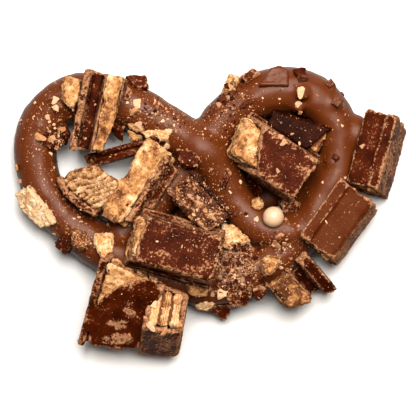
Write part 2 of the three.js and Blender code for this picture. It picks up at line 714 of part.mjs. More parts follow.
shard('foot_flake', wafer, [-3.7, -20.2], [
  [-3.1, 1.1], [0.4, 1.9], [2.7, 0.2], [2.1, -1.8], [-2.0, -1.2],
], 1.9, { heading: 0, slope: 4, rough: 0.3 });
shard('foot_lump', barChocolate, [7.3, -22.3, 8.6], [
  [-3.2, 0.6], [0.1, 2.2], [3.3, 1.5], [2.1, -1.9], [-2.1, -2.2],
], 3.2, { heading: 10, slope: 32, rough: 0.4 });
shard('foot_lump_east', barChocolate, [12.4, -20.6, 8.2], [
  [-2.0, 1.4], [1.6, 2.6], [2.2, 0.0], [-0.2, -2.5], [-1.7, -1.3],
], 3.0, { heading: 30, slope: 30, rough: 0.4 });
shard('foot_chunk', barChocolate, [2.3, -25.6, 3.6], [
  [-3.6, 0.6], [-1.0, 3.2], [3.6, 2.4], [1.7, -2.6], [-0.4, -1.6],
], 3.6, { heading: 0, slope: 38, rough: 0.45 });
shard('foot_pale_flake', wafer, [-1.9, -24.5, 7.4], [
  [-2.6, 0.2], [0.3, 1.4], [3.1, 1.0], [0.9, -1.1], [-1.8, -1.3],
], 1.3, { heading: -10, slope: 34 });

// Each piece keeps clear of the pretzel, of the floor and of the pieces laid before it

function inPlace(solid, place) {
  return solid.transform(place.toArray());
}

const floorRoom = underFloor(0.02);
const rooms = [];
for (const piece of pieces) {
  const room = inPlace(piece.room, piece.place);
  piece.nodes = piece.layers.map(({ name, solid, color }) => {
    const free = [pretzelRoom, floorRoom, ...rooms].reduce(
      (rest, other) => (overlapping(rest, other) ? rest.subtract(other) : rest),
      inPlace(solid, piece.place),
    );
    return { name, color, solid: largestBody(free) };
  });
  rooms.push(room);
}

function overlapping(a, b) {
  const first = a.boundingBox();
  const second = b.boundingBox();
  return [0, 1, 2].every((i) => first.min[i] < second.max[i] && second.min[i] < first.max[i]);
}

// Crumbs and small squares, fused to the coating wherever no larger piece lies

const crumbDraw = randomStream(77);

function crumb(x, y, size, squash) {
  const shape = size > 0.8
    ? new THREE.IcosahedronGeometry(size, 0)
    : new THREE.OctahedronGeometry(size * 1.15, 0);
  const turn = new THREE.Matrix4().makeRotationFromEuler(
    new THREE.Euler(crumbDraw() * 6, crumbDraw() * 6, crumbDraw() * 6),
  );
  shape.scale(1, 0.8, squash);
  shape.applyMatrix4(turn);
  const place = new THREE.Matrix4().makeTranslation(x, y, coatingAt(x, y) + size * 0.25);
  return solidOf(shape, place);
}

function isFree(solid) {
  return rooms.every((room) => !overlapping(solid, room) || solid.intersect(room).isEmpty());
}

const crumbHeaps = [
  { at: [5.6, -14.4], reach: [5.2, 6.4], count: 20, size: [0.8, 1.3] },
  { at: [-13, 27], reach: [10, 6], count: 7, size: [0.6, 0.9] },
  { at: [6, 29], reach: [6, 6], count: 6, size: [0.6, 0.9] },
  { at: [-42, 24], reach: [6, 10], count: 6, size: [0.6, 0.9] },
  { at: [18, -9], reach: [9, 7], count: 7, size: [0.5, 0.8] },
  { at: [28, 22], reach: [12, 15], count: 7, size: [0.5, 0.8] },
  { at: [-36, 2], reach: [12, 14], count: 7, size: [0.5, 0.8] },
];

const crumbs = [];
for (const heap of crumbHeaps) {
  for (let i = 0; i < heap.count; i += 1) {
    const angle = crumbDraw() * Math.PI * 2;
    const reach = Math.sqrt(crumbDraw());
    const x = heap.at[0] + heap.reach[0] * reach * Math.cos(angle);
    const y = heap.at[1] + heap.reach[1] * reach * Math.sin(angle);
    const size = THREE.MathUtils.lerp(heap.size[0], heap.size[1], crumbDraw());
    if (coatingAt(x, y) > 6.5) {
      const one = crumb(x, y, size, 0.7);
      if (isFree(one)) {
        crumbs.push(one);
      }
    }
  }
}

const squares = [
  { at: [33.5, 29.2], size: [3.1, 2.4, 1.1], yaw: -12 },
  { at: [31.9, 34.0], size: [2.3, 2.4, 1.0], yaw: -50 },
  { at: [31.6, 13.8], size: [2.4, 2.1, 0.9], yaw: 20 },
  { at: [24.1, 31.8], size: [2.5, 2.7, 1.4], yaw: 14 },
  { at: [23.3, 28.4], size: [2.3, 2.3, 1.5], yaw: -18 },
  { at: [-40.5, 28.8], size: [3.0, 1.7, 1.2], yaw: -25 },
  { at: [-42.2, 30.6], size: [2.4, 1.8, 1.2], yaw: 10 },
];
for (const { at, size, yaw } of squares) {
  const block = roughened(new THREE.BoxGeometry(...size), 0.16, 1.1, at[0]);
  const one = solidOf(block, pose([at[0], at[1], coatingAt(at[0], at[1]) + size[2] * 0.25], yaw));
  if (isFree(one)) {
    crumbs.push(one);
  }
}

const toppedPretzel = largestBody(joined([pretzelBody, ...crumbs]).subtract(underFloor(0)));

// The finished model

const finishes = {
  [milkChocolate]: { roughness: 0.42, metalness: 0 },
  [barChocolate]: { roughness: 0.6, metalness: 0 },
  [wafer]: { roughness: 0.95, metalness: 0 },
  [creamyWhite]: { roughness: 0.5, metalness: 0 },
};

function meshOf(name, solid, color, place) {
  const inward = place.clone().invert();
  const geometry = geometryOf(solid).applyMatrix4(inward);
  const mesh = new THREE.Mesh(geometry, new THREE.MeshStandardMaterial({ color, ...finishes[color] }));
  mesh.name = name;
  mesh.applyMatrix4(place);
  return mesh;
}

const model = new THREE.Group();
model.name = 'dipped_pretzel';
model.add(meshOf('pretzel', toppedPretzel, milkChocolate, new THREE.Matrix4()));
for (const piece of pieces) {
  for (const node of piece.nodes) {
    model.add(meshOf(node.name, node.solid, node.color, piece.place));
  }
}

// The origin moves under the middle of the whole box
const whole = new THREE.Box3().setFromObject(model, true);
const middle = whole.getCenter(new THREE.Vector3());
for (const child of model.children) {
  child.position.x -= middle.x;
  child.position.y -= middle.y;
}

export default model;
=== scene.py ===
import json
import math

import bmesh
import bpy
import numpy as np
from bpy.props import FloatProperty, FloatVectorProperty, IntProperty, PointerProperty
from mathutils import Euler, Matrix, Vector

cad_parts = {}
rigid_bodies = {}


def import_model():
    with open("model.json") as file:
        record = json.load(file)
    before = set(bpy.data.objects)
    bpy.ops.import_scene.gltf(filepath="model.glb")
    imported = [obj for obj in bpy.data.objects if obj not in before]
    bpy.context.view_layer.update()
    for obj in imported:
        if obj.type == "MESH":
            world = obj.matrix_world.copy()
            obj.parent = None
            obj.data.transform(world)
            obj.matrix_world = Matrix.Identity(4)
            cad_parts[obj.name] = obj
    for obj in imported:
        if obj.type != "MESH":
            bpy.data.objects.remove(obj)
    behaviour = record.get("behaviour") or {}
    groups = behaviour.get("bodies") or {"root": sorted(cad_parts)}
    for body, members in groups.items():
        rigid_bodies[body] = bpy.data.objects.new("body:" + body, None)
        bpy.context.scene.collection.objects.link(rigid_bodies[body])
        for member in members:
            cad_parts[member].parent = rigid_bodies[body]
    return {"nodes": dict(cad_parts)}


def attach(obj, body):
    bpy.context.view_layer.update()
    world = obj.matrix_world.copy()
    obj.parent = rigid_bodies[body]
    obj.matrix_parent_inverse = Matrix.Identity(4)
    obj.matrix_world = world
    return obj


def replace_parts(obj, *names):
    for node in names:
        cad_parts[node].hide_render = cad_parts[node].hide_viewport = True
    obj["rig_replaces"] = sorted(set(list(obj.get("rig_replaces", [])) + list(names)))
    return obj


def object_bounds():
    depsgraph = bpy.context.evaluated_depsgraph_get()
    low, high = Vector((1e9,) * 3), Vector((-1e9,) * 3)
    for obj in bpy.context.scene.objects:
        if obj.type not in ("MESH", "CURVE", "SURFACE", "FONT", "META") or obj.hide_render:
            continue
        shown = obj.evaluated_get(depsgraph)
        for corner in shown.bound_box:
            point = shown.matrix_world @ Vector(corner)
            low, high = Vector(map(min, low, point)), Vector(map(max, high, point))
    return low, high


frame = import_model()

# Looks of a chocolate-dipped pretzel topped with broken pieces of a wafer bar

bl_info = {
    "name": "Dipped pretzel with wafer bar pieces",
    "version": (1, 0, 0),
    "blender": (4, 5, 0),
    "location": "3D View > Sidebar > Pretzel",
    "description": "Dresses a dipped pretzel, its toppings, its crumbs and a studio stage",
    "category": "Object",
}

MM = 0.001
BODY = "root"
CAD_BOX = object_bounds()
CRUMB_TOP = CAD_BOX[1][2] + 0.5 * MM    # no crumb stands up past this
CRUMB_FOOT = 1.5 * MM                   # and none comes to lie lower, where the sides turn under
ABOVE_ALL = 0.06                        # metres: the rays that find a crumb's place start here


def linear(code):
    """The linear RGBA of an sRGB hex colour."""
    shares = [int(code[i:i + 2], 16) / 255 for i in (1, 3, 5)]
    return (*(s / 12.92 if s <= 0.04045 else ((s + 0.055) / 1.055) ** 2.4 for s in shares), 1.0)


# Where dust is rubbed into the chocolate: x, y, half width and half depth in mm, and strength
SMEARS = (
    (-24.6, -29.8, 3.6, 1.6, 0.95), (-25.0, -34.0, 5.4, 1.8, 0.9), (-21.4, -26.0, 1.8, 3.2, 0.55),
    (-13.2, -10.8, 3.0, 1.2, 0.3), (-4.0, -14.6, 4.2, 1.2, 0.35), (-2.0, -9.0, 1.4, 2.6, 0.3),
    (24.2, 10.8, 3.0, 2.2, 0.2), (17.6, 9.6, 2.2, 1.2, 0.3),
)

# Where the coating has run down inside the right loop: the line from and to, how far it ran
# in x and y, and how far from the line that fades, in mm
RUN = ((28.4, 12.6), (22.0, 2.6), (-1.9, 1.1), 3.4)

# How each chunk of bar lies: turns about Z, Y and X in degrees, as it was broken and dropped
CHUNKS = {
    "centre_block": (-15.8, 0, 0),
    "loop_block": (-33, 3, -2),
    "corner_block": (74, -24, 180),
    "standing_block": (80, -62, 90),
    "east_block": (74.7, 0, -106),
    "shoulder_block": (54, 0, 75),
    "cross_block": (57, 0, -20),
    "back_block": (-18, 0, 0),
    "rough_block": (-46.5, 2, 90),
    "upper_valley": (78, -7, 0),
    "lower_valley": (-49, 24, 0),
}
GRITTY_CHUNKS = ("rough_block",)    # torn open, with ground wafer pressed into the chocolate

# Chunks whose chocolate differs: how dusty its edges and breaks are, where 1 is usual, how much
# of the usual dust its flats lack, and how dark it is, with less than 0 for a light one. For
# back_block, down in the right loop, the darkness and the scant dust are painted shade
DUSTY = {"back_block": 0.15, "corner_block": 0.7, "upper_valley": 1.25, "loop_block": 1.15}
SMOOTH = {"shoulder_block": 1.1, "corner_block": 0.05}
TONE_AND_SHADE = {"shoulder_block": -1.1, "back_block": 1.1, "east_block": 0.1, "upper_valley": 0.3,
        "lower_valley": 0.35}

# Loose bits that differ: how far the skin swells, in mm, and how dusty the chocolate is
USUAL_SWELL, USUAL_DUST = 0.12, 0.8
SWOLLEN = {"wafer_slab_rim": 0.45, "chip_side_lump": 0.6, "rim_curl": 0.3}
BIT_DUST = {"rim_curl": 0.25, "loop_curl": 0.3, "channelled_strip": 0.45, "top_square": 0.3,
            "dark_shard": 0.4, "inner_flake": 0.4}

# Chunks and flakes whose wafer is paler than usual, or browner where the number is below 0;
# west_flake is made paler partly as a painted highlight
PALER_AND_LIT = {"lower_valley": -0.35, "rim_lump": -0.4, "ring_lump": -0.1, "cross_block": 0.05,
         "loop_block": 0.1, "west_flake": 0.95, "standing_block": 0.25, "wedge": 0.15,
         "pale_shard": 0.2, "pale_flake": 0.15, "foot_pale_flake": 0.25}

WAFER_FLAKES = (
    "west_flake", "rim_lump", "pale_flake", "top_lump", "pale_shard", "split_shard", "thin_flake",
    "wedge", "chip_side_flake", "ring_lump", "notch_lump", "foot_flake", "foot_pale_flake",
)
CHOCOLATE_SHARDS = (
    "top_chunk", "top_shard", "inner_flake", "inner_chip", "dark_shard", "crossing_lump",
    "crossing_flake", "chip_side_lump", "top_square", "top_lump_east", "foot_lump",
    "foot_lump_east", "foot_chunk", "rim_curl", "loop_curl",
)
SHEET = 1.9 * MM    # one wafer sheet
CREAM = 0.8 * MM    # one layer of cream between two sheets
LEDGE = 1.6 * MM    # from one ledge of the torn slab to the next
LEDGES_FALL = (-0.36, 0.93, 0.05)    # the way they follow one another


# Noise on arrays of points

LAYER_SHIFT = 17.3    # cells that set one layer of noise off from the next
WAVE_GAIN = 1.6       # brings the noise, which rarely reaches its ends, out to about -1 and 1


def draws(cells, seed):
    """A number from 0 to 1 for each whole-numbered cell, always the same for the same cell.

    The large factors are those of common integer hashes.
    """
    mixed = cells.astype(np.int64).astype(np.uint32)
    code = mixed[..., 0] * np.uint32(0x8DA6B343) ^ mixed[..., 1] * np.uint32(0xD8163841)
    code ^= mixed[..., 2] * np.uint32(0xCB1AB31F) ^ np.uint32((seed * 0x9E3779B9) & 0xFFFFFFFF)
    for shift, factor in ((15, 0x2C1B3C6D), (12, 0x297A2D39), (15, 1)):
        code ^= code >> np.uint32(shift)
        code *= np.uint32(factor)
    return code / 2.0 ** 32


def waves(points, grain, seed, octaves=1):
    """Smooth noise from about -1 to 1 whose features are about as large as grain."""
    total, weight, reach = 0.0, 1.0, 0.0
    for octave in range(octaves):
        at = points / grain * 2 ** octave + LAYER_SHIFT * (seed + octave)
        low = np.floor(at)
        part = at - low
        ease = part * part * part * (part * (part * 6 - 15) + 10)
        value = 0.0
        for corner in np.ndindex(2, 2, 2):
            share = np.prod(np.where(corner, ease, 1 - ease), axis=1)
            value = value + share * draws(low + np.array(corner), seed + octave)
        total = total + weight * (value * 2 - 1)
        reach += weight
        weight *= 0.5
    return total / reach * WAVE_GAIN


def pits(points, grain, seed):
    """The distance to the nearest of scattered points, as a share of grain."""
    at = points / grain
    low = np.floor(at)
    best = np.full(len(points), 9.0)
    for step in np.ndindex(3, 3, 3):
        cell = low + np.array(step) - 1
        spot = np.stack([draws(cell, seed + axis) for axis in range(3)], axis=1)
        best = np.minimum(best, np.linalg.norm(cell + spot - at, axis=1))
    return best


def crumbly(points, seed):
    """The relief of a torn crumb: rounded grains of two sizes, from about -0.5 to 0.5."""
    return 0.6 - pits(points, 1.5 * MM, seed) + 0.5 * (0.55 - pits(points, 0.85 * MM, seed + 1))


def ramp(value, low, high):
    """0 below low, 1 above high, smooth between, and falling where high is the lower one."""
    share = np.clip((value - low) / (high - low), 0, 1)
    return share * share * (3 - 2 * share)


# Meshes


def link(name, mesh):
    """A new object in the scene, around a mesh, a lamp or a lens."""
    piece = bpy.data.objects.new(name, mesh)
    bpy.context.scene.collection.objects.link(piece)
    return piece


def fine_skin(name, node, voxel):
    """A new object with the CAD node's shape, cut into even small faces."""
    piece = link(name, frame["nodes"][node].data.copy())
    skin = piece.modifiers.new("skin", "REMESH")
    skin.mode = "VOXEL"
    skin.voxel_size = voxel
    depsgraph = bpy.context.evaluated_depsgraph_get()
    fine = bpy.data.meshes.new_from_object(piece.evaluated_get(depsgraph))
    piece.modifiers.clear()
    piece.data = fine
    fine.materials.clear()
    fine.shade_smooth()
    return piece


def points_of(piece):
    """Where the piece's points are, one row each."""
    places = np.empty(len(piece.data.vertices) * 3)
    piece.data.vertices.foreach_get("co", places)
    return places.reshape(-1, 3)


def normals_of(piece):
    """Which way the skin faces at each point."""
    facing = np.empty(len(piece.data.vertices) * 3)
    piece.data.vertex_normals.foreach_get("vector", facing)
    return facing.reshape(-1, 3)


def move_to(piece, places):
    """Moves the points, and leaves none below the floor."""
    places = places.copy()
    places[:, 2] = np.maximum(places[:, 2], 0)
    piece.data.vertices.foreach_set("co", places.ravel())
    piece.data.update()


def neighbours(piece):
    """Every pair of points that an edge joins, both ways round."""
    ends = np.empty(len(piece.data.edges) * 2, dtype=np.int64)
    piece.data.edges.foreach_get("vertices", ends)
    first, second = ends.reshape(-1, 2).T
    return np.concatenate([first, second]), np.concatenate([second, first])


def around(values, pairs):
    """The mean of each point's neighbours."""
    here, there = pairs
    count = np.maximum(np.bincount(here, minlength=len(values)), 1)
    flat = values.reshape(len(values), -1)
    sums = [np.bincount(here, flat[there, i], minlength=len(values)) for i in range(flat.shape[1])]
    return (np.stack(sums, axis=1) / count[:, None]).reshape(values.shape)


def ironed(piece, rounds, push=0.6, pull=-0.62):
    """Takes out facets and stair steps, not the broad form: each round shrinks, then swells."""
    pairs = neighbours(piece)
    places = points_of(piece)
    for _ in range(rounds):
        for step in (push, pull):
            places = places + step * (around(places, pairs) - places)
    move_to(piece, places)


def edges_of(piece, rounds, low, high):
    """1 where the skin stands high mm out from its own blurred form, as edges do, 0 below low."""
    pairs = neighbours(piece)
    places = points_of(piece)
    blurred = places
    for _ in range(rounds):
        blurred = around(blurred, pairs)
    height = np.einsum("ij,ij->i", places - blurred, normals_of(piece)) / MM
    return ramp(height, low, high)


def thickness_level(places):
    """How far each point lies through the piece's thinnest direction, from 0 to 1."""
    middle = places - places.mean(axis=0)
    across = middle @ np.linalg.svd(middle, full_matrices=False)[2][2]
    return (across - across.min()) / np.ptp(across)


def keep(piece, low=0.0, high=1.0, **values):
    """Stores a number from low to high for each point under each name, for the materials."""
    for name, value in values.items():
        layer = piece.data.attributes.new(name, "FLOAT", "POINT")
        layer.data.foreach_set("value", np.clip(value, low, high).astype(np.float32))


def hand_over(piece, material, slot, *nodes):
    """Gives a piece its material, its body and the CAD nodes it stands for; the slot is not used.
    """
    piece.data.materials.append(material)
    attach(piece, BODY)
    if nodes:
        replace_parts(piece, *nodes)


# Materials

MILK_NAME = "milk chocolate, dipped"
BAR_NAME = "bar chocolate, moulded and rubbed"
WAFER_NAME = "wafer, baked and layered"


def fill(tree, target, inputs):
    """Links each of a node's inputs to a socket, or sets it to a value."""
    for name, value in inputs.items():
        if isinstance(value, bpy.types.NodeSocket):
            tree.links.new(value, target.inputs[name])
        else:
            target.inputs[name].default_value = value


def node(tree, kind, inputs=None, **settings):
    """Adds a node, with its settings, and its inputs filled or linked."""
    new = tree.nodes.new(kind)
    for name, value in settings.items():
        setattr(new, name, value)
    fill(tree, new, inputs or {})
    return new


def blank(name):
    """A new material with its own tree, the place in metres, and its shader."""
    material = bpy.data.materials.new(name)
    material.use_nodes = True
    tree = material.node_tree
    shader = next(n for n in tree.nodes if n.type == "BSDF_PRINCIPLED")
    place = node(tree, "ShaderNodeTexCoord").outputs["Object"]
    return material, tree, shader, place


def stored(tree, name):
    """The number that the piece's points keep under a name."""
    return node(tree, "ShaderNodeAttribute", attribute_name=name).outputs["Fac"]


def noise(tree, place, size, detail, roughness=0.5):
    """Cloudy noise whose features are about as large as size, in mm."""
    return node(tree, "ShaderNodeTexNoise",
                {"Vector": place, "Scale": 1 / (size * MM), "Detail": detail,
                 "Roughness": roughness}).outputs["Fac"]


def maths(tree, operation, *values):
    """The result of one operation on two or three numbers."""
    return node(tree, "ShaderNodeMath", dict(enumerate(values)), operation=operation).outputs[0]


def weighted(tree, first, factor, second):
    """The first number times the factor, plus the second."""
    return maths(tree, "MULTIPLY_ADD", first, factor, second)


def brought(tree, value, start=(0.0, 1.0), end=(0.0, 1.0), **settings):
    """A number brought from one range to another, and kept within it."""
    return node(tree, "ShaderNodeMapRange",
                {"Value": value, "From Min": start[0], "From Max": start[1], "To Min": end[0],
                 "To Max": end[1]}, **settings).outputs["Result"]


def tinted(tree, value, *stops):
    """The colour that belongs to a number: the two end stops first, then those between."""
    new = node(tree, "ShaderNodeValToRGB", {"Fac": value})
    elements = new.color_ramp.elements
    for i, (place, colour) in enumerate(stops):
        stop = elements[i] if i < 2 else elements.new(place)
        stop.position, stop.color = place, colour
    return new.outputs["Color"]


def mixed(tree, share, first, second):
    """The first colour where share is 0, and the second where it is 1."""
    return node(tree, "ShaderNodeMix", {0: share, 6: first, 7: second}, data_type="RGBA").outputs[2]


def bumped(tree, height, strength, depth, **below):
    """Fine relief as the light sees it, depth in mm, on top of any other below it."""
    return node(tree, "ShaderNodeBump", {"Height": height, "Strength": strength,
                                         "Distance": depth * MM, **below}).outputs["Normal"]


def milk_chocolate(colours):
    """Milk chocolate, dipped and left to set: satin, soft broad highlights, faint ripples."""
    material, tree, shader, place = blank(MILK_NAME)
    ripple, grain = noise(tree, place, 7, 3.0), noise(tree, place, 1.1, 4.0)
    # Painted shade: the tint runs from the darkest brown, where the stored shading number is low on
    # sides turned down or away from the light, to the full milk colour on lit tops. Faint random
    # ripples lie over that.
    ripple_and_shade = weighted(tree, ripple, 0.6, stored(tree, "crown"))
    tint = tinted(tree, ripple_and_shade, (0.25, colours.milk_painted_shade), (1.0, colours.milk),
                  (0.8, colours.milk_deep))
    sheen = brought(tree, grain, end=(0.38, 0.47))
    bump = bumped(tree, grain, 0.25, 0.08, Normal=bumped(tree, ripple, 0.35, 0.5))
    fill(tree, shader, {"Base Color": tint, "Roughness": sheen, "Normal": bump, "IOR": 1.47,
                        "Specular IOR Level": 0.23})
    return material


def bar_chocolate(colours):
    """Milk chocolate of the bar, moulded, then broken and rubbed: dark satin under pale dust."""
    material, tree, shader, place = blank(BAR_NAME)
    cloud, speck = noise(tree, place, 4.5, 4.0), noise(tree, place, 0.75, 5.0, 0.75)
    worn = stored(tree, "worn")
    # The deep number darkens a chunk towards the darkest colour. For back_block, which lies in the
    # shade of the right loop, this is painted shade; for the other chunks it only makes the
    # chocolate darker or lighter.
    cloud_and_shade = weighted(tree, stored(tree, "deep"), -0.3, cloud)
    tint = tinted(tree, cloud_and_shade, (0.0, colours.bar_darkest_and_shaded), (0.90, colours.bar_smooth),
                  (0.30, colours.bar_deep), (0.58, colours.bar))
    level = weighted(tree, cloud, 0.7, weighted(tree, worn, 0.3, speck))
    # Pale dust where the worn number is high: real dust and wear on edges and breaks, and on steep
    # sides partly a painted reflection of the pale floor
    dust = brought(tree, level, (0.94, 1.08), interpolation_type="SMOOTHSTEP")
    rubbed = tinted(tree, speck, (0.40, colours.bar_rubbed), (0.58, colours.bar_dust))
    skin = mixed(tree, dust, tint, rubbed)
    matt = brought(tree, weighted(tree, worn, 0.7, dust), end=(0.3, 0.95))
    bump = bumped(tree, level, 0.7, 0.3)
    fill(tree, shader, {"Base Color": skin, "Roughness": matt, "Normal": bump, "IOR": 1.47,
                        "Specular IOR Level": 0.05})
    return material


def baked_wafer(colours):
    """Wafer sheets baked from batter and sandwiched with cocoa cream: dry, flaky, golden."""
    material, tree, shader, place = blank(WAFER_NAME)
    crumb, patch = noise(tree, place, 0.6, 5.0, 0.85), noise(tree, place, 2.6, 3.0)
    leaf = weighted(tree, stored(tree, "level"), 30.0, patch)
    leaves = node(tree, "ShaderNodeTexNoise", {"W": leaf, "Scale": 1.0, "Detail": 2.0},
                  noise_dimensions="1D").outputs["Fac"]
    grain = weighted(tree, crumb, 1.3, leaves)
    level = weighted(tree, stored(tree, "relief"), 0.9, grain)
    share = brought(tree, weighted(tree, patch, 0.6, level), (1.42, 2.58))
    tint = tinted(tree, share, (0.0, colours.wafer_brown), (1.0, colours.wafer_palest_and_lit),
                  (0.18, colours.wafer_dusty), (0.33, colours.wafer),
                  (0.48, colours.wafer_gold), (0.69, colours.wafer_pale))
    smear = brought(tree, patch, (0.46, 0.34), (0.0, 0.42))
    between = maths(tree, "ADD", stored(tree, "cream"), smear)
    layer = brought(tree, maths(tree, "MULTIPLY", crumb, between), (0.18, 0.34))
    skin = mixed(tree, layer, tint, colours.cream)
    bump = bumped(tree, grain, 0.9, 0.4)
    fill(tree, shader, {"Base Color": skin, "Normal": bump, "Roughness": 0.85, "IOR": 1.4,
                        "Specular IOR Level": 0.25})
    return material


def gritty_chocolate(colours):
    """Chocolate with ground wafer pressed into it, torn open: brown, pitted, full of pale bits."""
    material, tree, shader, place = blank("chocolate with ground wafer, torn")
    bits = node(tree, "ShaderNodeTexVoronoi", {"Vector": place, "Scale": 1 / (1.1 * MM)})
    pick = node(tree, "ShaderNodeSeparateColor", {"Color": bits.outputs["Color"]}).outputs[0]
    crumb = noise(tree, place, 0.8, 5.0, 0.7)
    level = weighted(tree, crumb, 0.7, stored(tree, "relief"))
    base = tinted(tree, level, (0.55, colours.bar_deep), (1.0, colours.bar_dust),
                  (0.95, colours.grit))
    chosen = brought(tree, maths(tree, "MULTIPLY", pick, crumb), (0.43, 0.51))
    skin = mixed(tree, chosen, base, colours.wafer)
    bump = bumped(tree, level, 0.8, 0.4)
    fill(tree, shader, {"Base Color": skin, "Normal": bump, "Roughness": 0.7, "IOR": 1.45,
                        "Specular IOR Level": 0.2})
    return material


def white_chocolate(colours):
    """White chocolate, dropped and set: a smooth satin skin that lets a little light in."""
    material, tree, shader, place = blank("white chocolate, dropped")
    tint = tinted(tree, noise(tree, place, 2.5, 3.0), (0.3, colours.white_deep),
                  (0.7, colours.white))
    fill(tree, shader, {"Base Color": tint, "Roughness": 0.38, "IOR": 1.46,
                        "Subsurface Weight": 0.3, "Subsurface Radius": (1.0, 0.7, 0.45),
                        "Subsurface Scale": 1.2 * MM})
    return material


def loose_crumbs(name, dark, middle, light):
    """Crumbs of broken wafer or chocolate: dry and rough, each one its own shade."""
    material, tree, shader, place = blank(name)
    level = weighted(tree, noise(tree, place, 0.6, 3.0), 0.4, stored(tree, "tone"))
    tint = tinted(tree, level, (0.2, dark), (1.0, light), (0.6, middle))
    fill(tree, shader, {"Base Color": tint, "Roughness": 0.75, "Specular IOR Level": 0.25})
    return material


# Pieces

ROPE_ROUNDS = 160    # enough to take the strands' facets out


def turn_of(chunk):
    """The chunk's own axes as the rows of a matrix."""
    yaw, pitch, roll = (math.radians(a) for a in CHUNKS[chunk])
    return np.array(Euler((roll, pitch, yaw), "XYZ").to_matrix()).T


def run_down(places, start, end, lean, reach):
    """How far chocolate has run out from a line on a wall, most at its foot, as moves in metres."""
    start, end, lean = (np.array(spot) * MM for spot in (start, end, lean))
    along = end - start
    share = np.clip((places[:, :2] - start) @ along / (along @ along), 0, 1)
    gap = np.linalg.norm(places[:, :2] - start - share[:, None] * along, axis=1)
    amount = ramp(gap, reach * MM, 0.3 * reach * MM) * ramp(places[:, 2], 8.5 * MM, 3 * MM)
    return amount[:, None] * np.array((lean[0], lean[1], 0.0))


def dipped_pretzel(sizes, material):
    """The dipped pretzel: facets ironed out, soft ripples, and the run inside the right loop."""
    piece = fine_skin("dipped_pretzel", "pretzel", sizes.rope_grid)
    ironed(piece, ROPE_ROUNDS)
    places = points_of(piece)
    places = places + run_down(places, *RUN)
    move_to(piece, places)
    places, facing = points_of(piece), normals_of(piece)
    ripple = waves(places, 9 * MM, 3, 2) * 0.16 + waves(places, 3.2 * MM, 5) * 0.04
    move_to(piece, places + facing * (ripple[:, None] + 0.1) * MM)
    # Painted shade: a number that is high where the skin faces up and towards the softbox in the
    # north, and low on sides turned down or away, for the coating's tint
    keep(piece, crown=0.8 * ramp(facing[:, 2] + 0.25 * facing[:, 1], 0.0, 0.8))
    hand_over(piece, material, "milk_chocolate", "pretzel")


def smeared(places):
    """How much dust is rubbed into each point, from the smears."""
    amount = np.zeros(len(places))
    wander = 0.25 * waves(places, 1.6 * MM, 61, 3)
    for x, y, wide, deep, strength in SMEARS:
        out = np.hypot((places[:, 0] / MM - x) / wide, (places[:, 1] / MM - y) / deep)
        amount = np.maximum(amount, strength * ramp(out + wander, 1.1, 0.5))
    return amount


def bar_coat(chunk, seed, sizes, material):
    """The chocolate round one chunk: smooth where it was moulded, torn where it broke."""
    piece = fine_skin(f"{chunk}_chocolate", f"{chunk}_coat", sizes.chunk_grid)
    ironed(piece, 3)
    places, facing = points_of(piece), normals_of(piece)
    broken = ramp(np.abs((facing @ turn_of(chunk).T)[:, 0]), 0.45, 0.8)
    edge = edges_of(piece, rounds=12, low=0.08, high=0.30)
    tear = waves(places, 1.9 * MM, seed, 3) - 0.8 * ramp(pits(places, 1.4 * MM, seed), 0.45, 0.15)
    dent = waves(places, 3.6 * MM, seed + 9, 2)
    # Steep sides are given pale dust: partly dust, partly a painted reflection of the pale floor
    # that such grazing sides show
    side = ramp(facing[:, 2], 0.78, 0.3)
    lift = 0.10 + 0.08 * dent + 0.30 * broken * tear + 0.12 * side * tear
    chips = np.maximum(waves(places, 1.3 * MM, seed + 4, 2), 0)
    move_to(piece, places + facing * ((lift - 0.3 * edge * chips) * MM)[:, None])
    # Painted shade for back_block: its deep number darkens it and keeps dust off, because it lies
    # in the shade of the right loop
    deep = TONE_AND_SHADE.get(chunk, 0.0)
    rubbed = (0.8 * edge + 0.6 * broken + 0.5 * side) * DUSTY.get(chunk, 1.0) + smeared(places)
    rubbed = rubbed - SMOOTH.get(chunk, 0.0) * ramp(rubbed, 0.5, 0.3)
    keep(piece, low=-1.5, worn=rubbed - 0.35 * max(deep, 0))
    keep(piece, low=-1.5, high=2.5, deep=np.full(len(places), deep))
    hand_over(piece, material, "bar_chocolate", f"{chunk}_coat")


def wafer_core(chunk, seed, sizes, material):
    """The wafer of one chunk: sheets that crumble at the break, with cream set back between."""
    piece = fine_skin(f"{chunk}_layers", f"{chunk}_wafer", sizes.chunk_grid)
    ironed(piece, 2)
    places, facing = points_of(piece), normals_of(piece)
    own = places @ turn_of(chunk).T
    facing_own = facing @ turn_of(chunk).T
    level = own[:, 2] - (own[:, 2].min() + own[:, 2].max()) / 2
    wander = 0.15 * MM * waves(places, 3 * MM, seed + 2)
    gap = np.abs(np.abs(level + wander) - (SHEET + CREAM) / 2)
    cream = ramp(gap, 0.62 * CREAM, 0.38 * CREAM) * ramp(np.abs(facing_own[:, 2]), 0.9, 0.6)
    ends = ramp(np.abs(facing_own[:, 0]), 0.4, 0.8)
    crumble = waves(places, 2.3 * MM, seed, 3)
    hollow = ramp(pits(places, 0.9 * MM, seed + 6), 0.42, 0.12)
    leaves = waves(own * (0.25, 0.25, 1), 1.0 * MM, seed + 8, 2)
    grains = crumbly(places, seed + 5)
    lift = (0.2 + (0.32 + 0.25 * ends) * crumble + 0.3 * leaves + 0.3 * grains
            - 0.25 * hollow - 0.35 * cream)
    move_to(piece, places + facing * (lift * MM)[:, None])
    # The relief number browns the wafer in its pits, which is painted shade, and pales it on grains
    # and crumbled high spots
    relief = (0.45 + PALER_AND_LIT.get(chunk, 0.0) + 0.2 * crumble + 0.25 * leaves + 0.35 * grains
              - 0.3 * hollow)
    keep(piece, cream=cream, relief=relief, level=(level - level.min()) / np.ptp(level))
    hand_over(piece, material, "wafer", f"{chunk}_wafer")


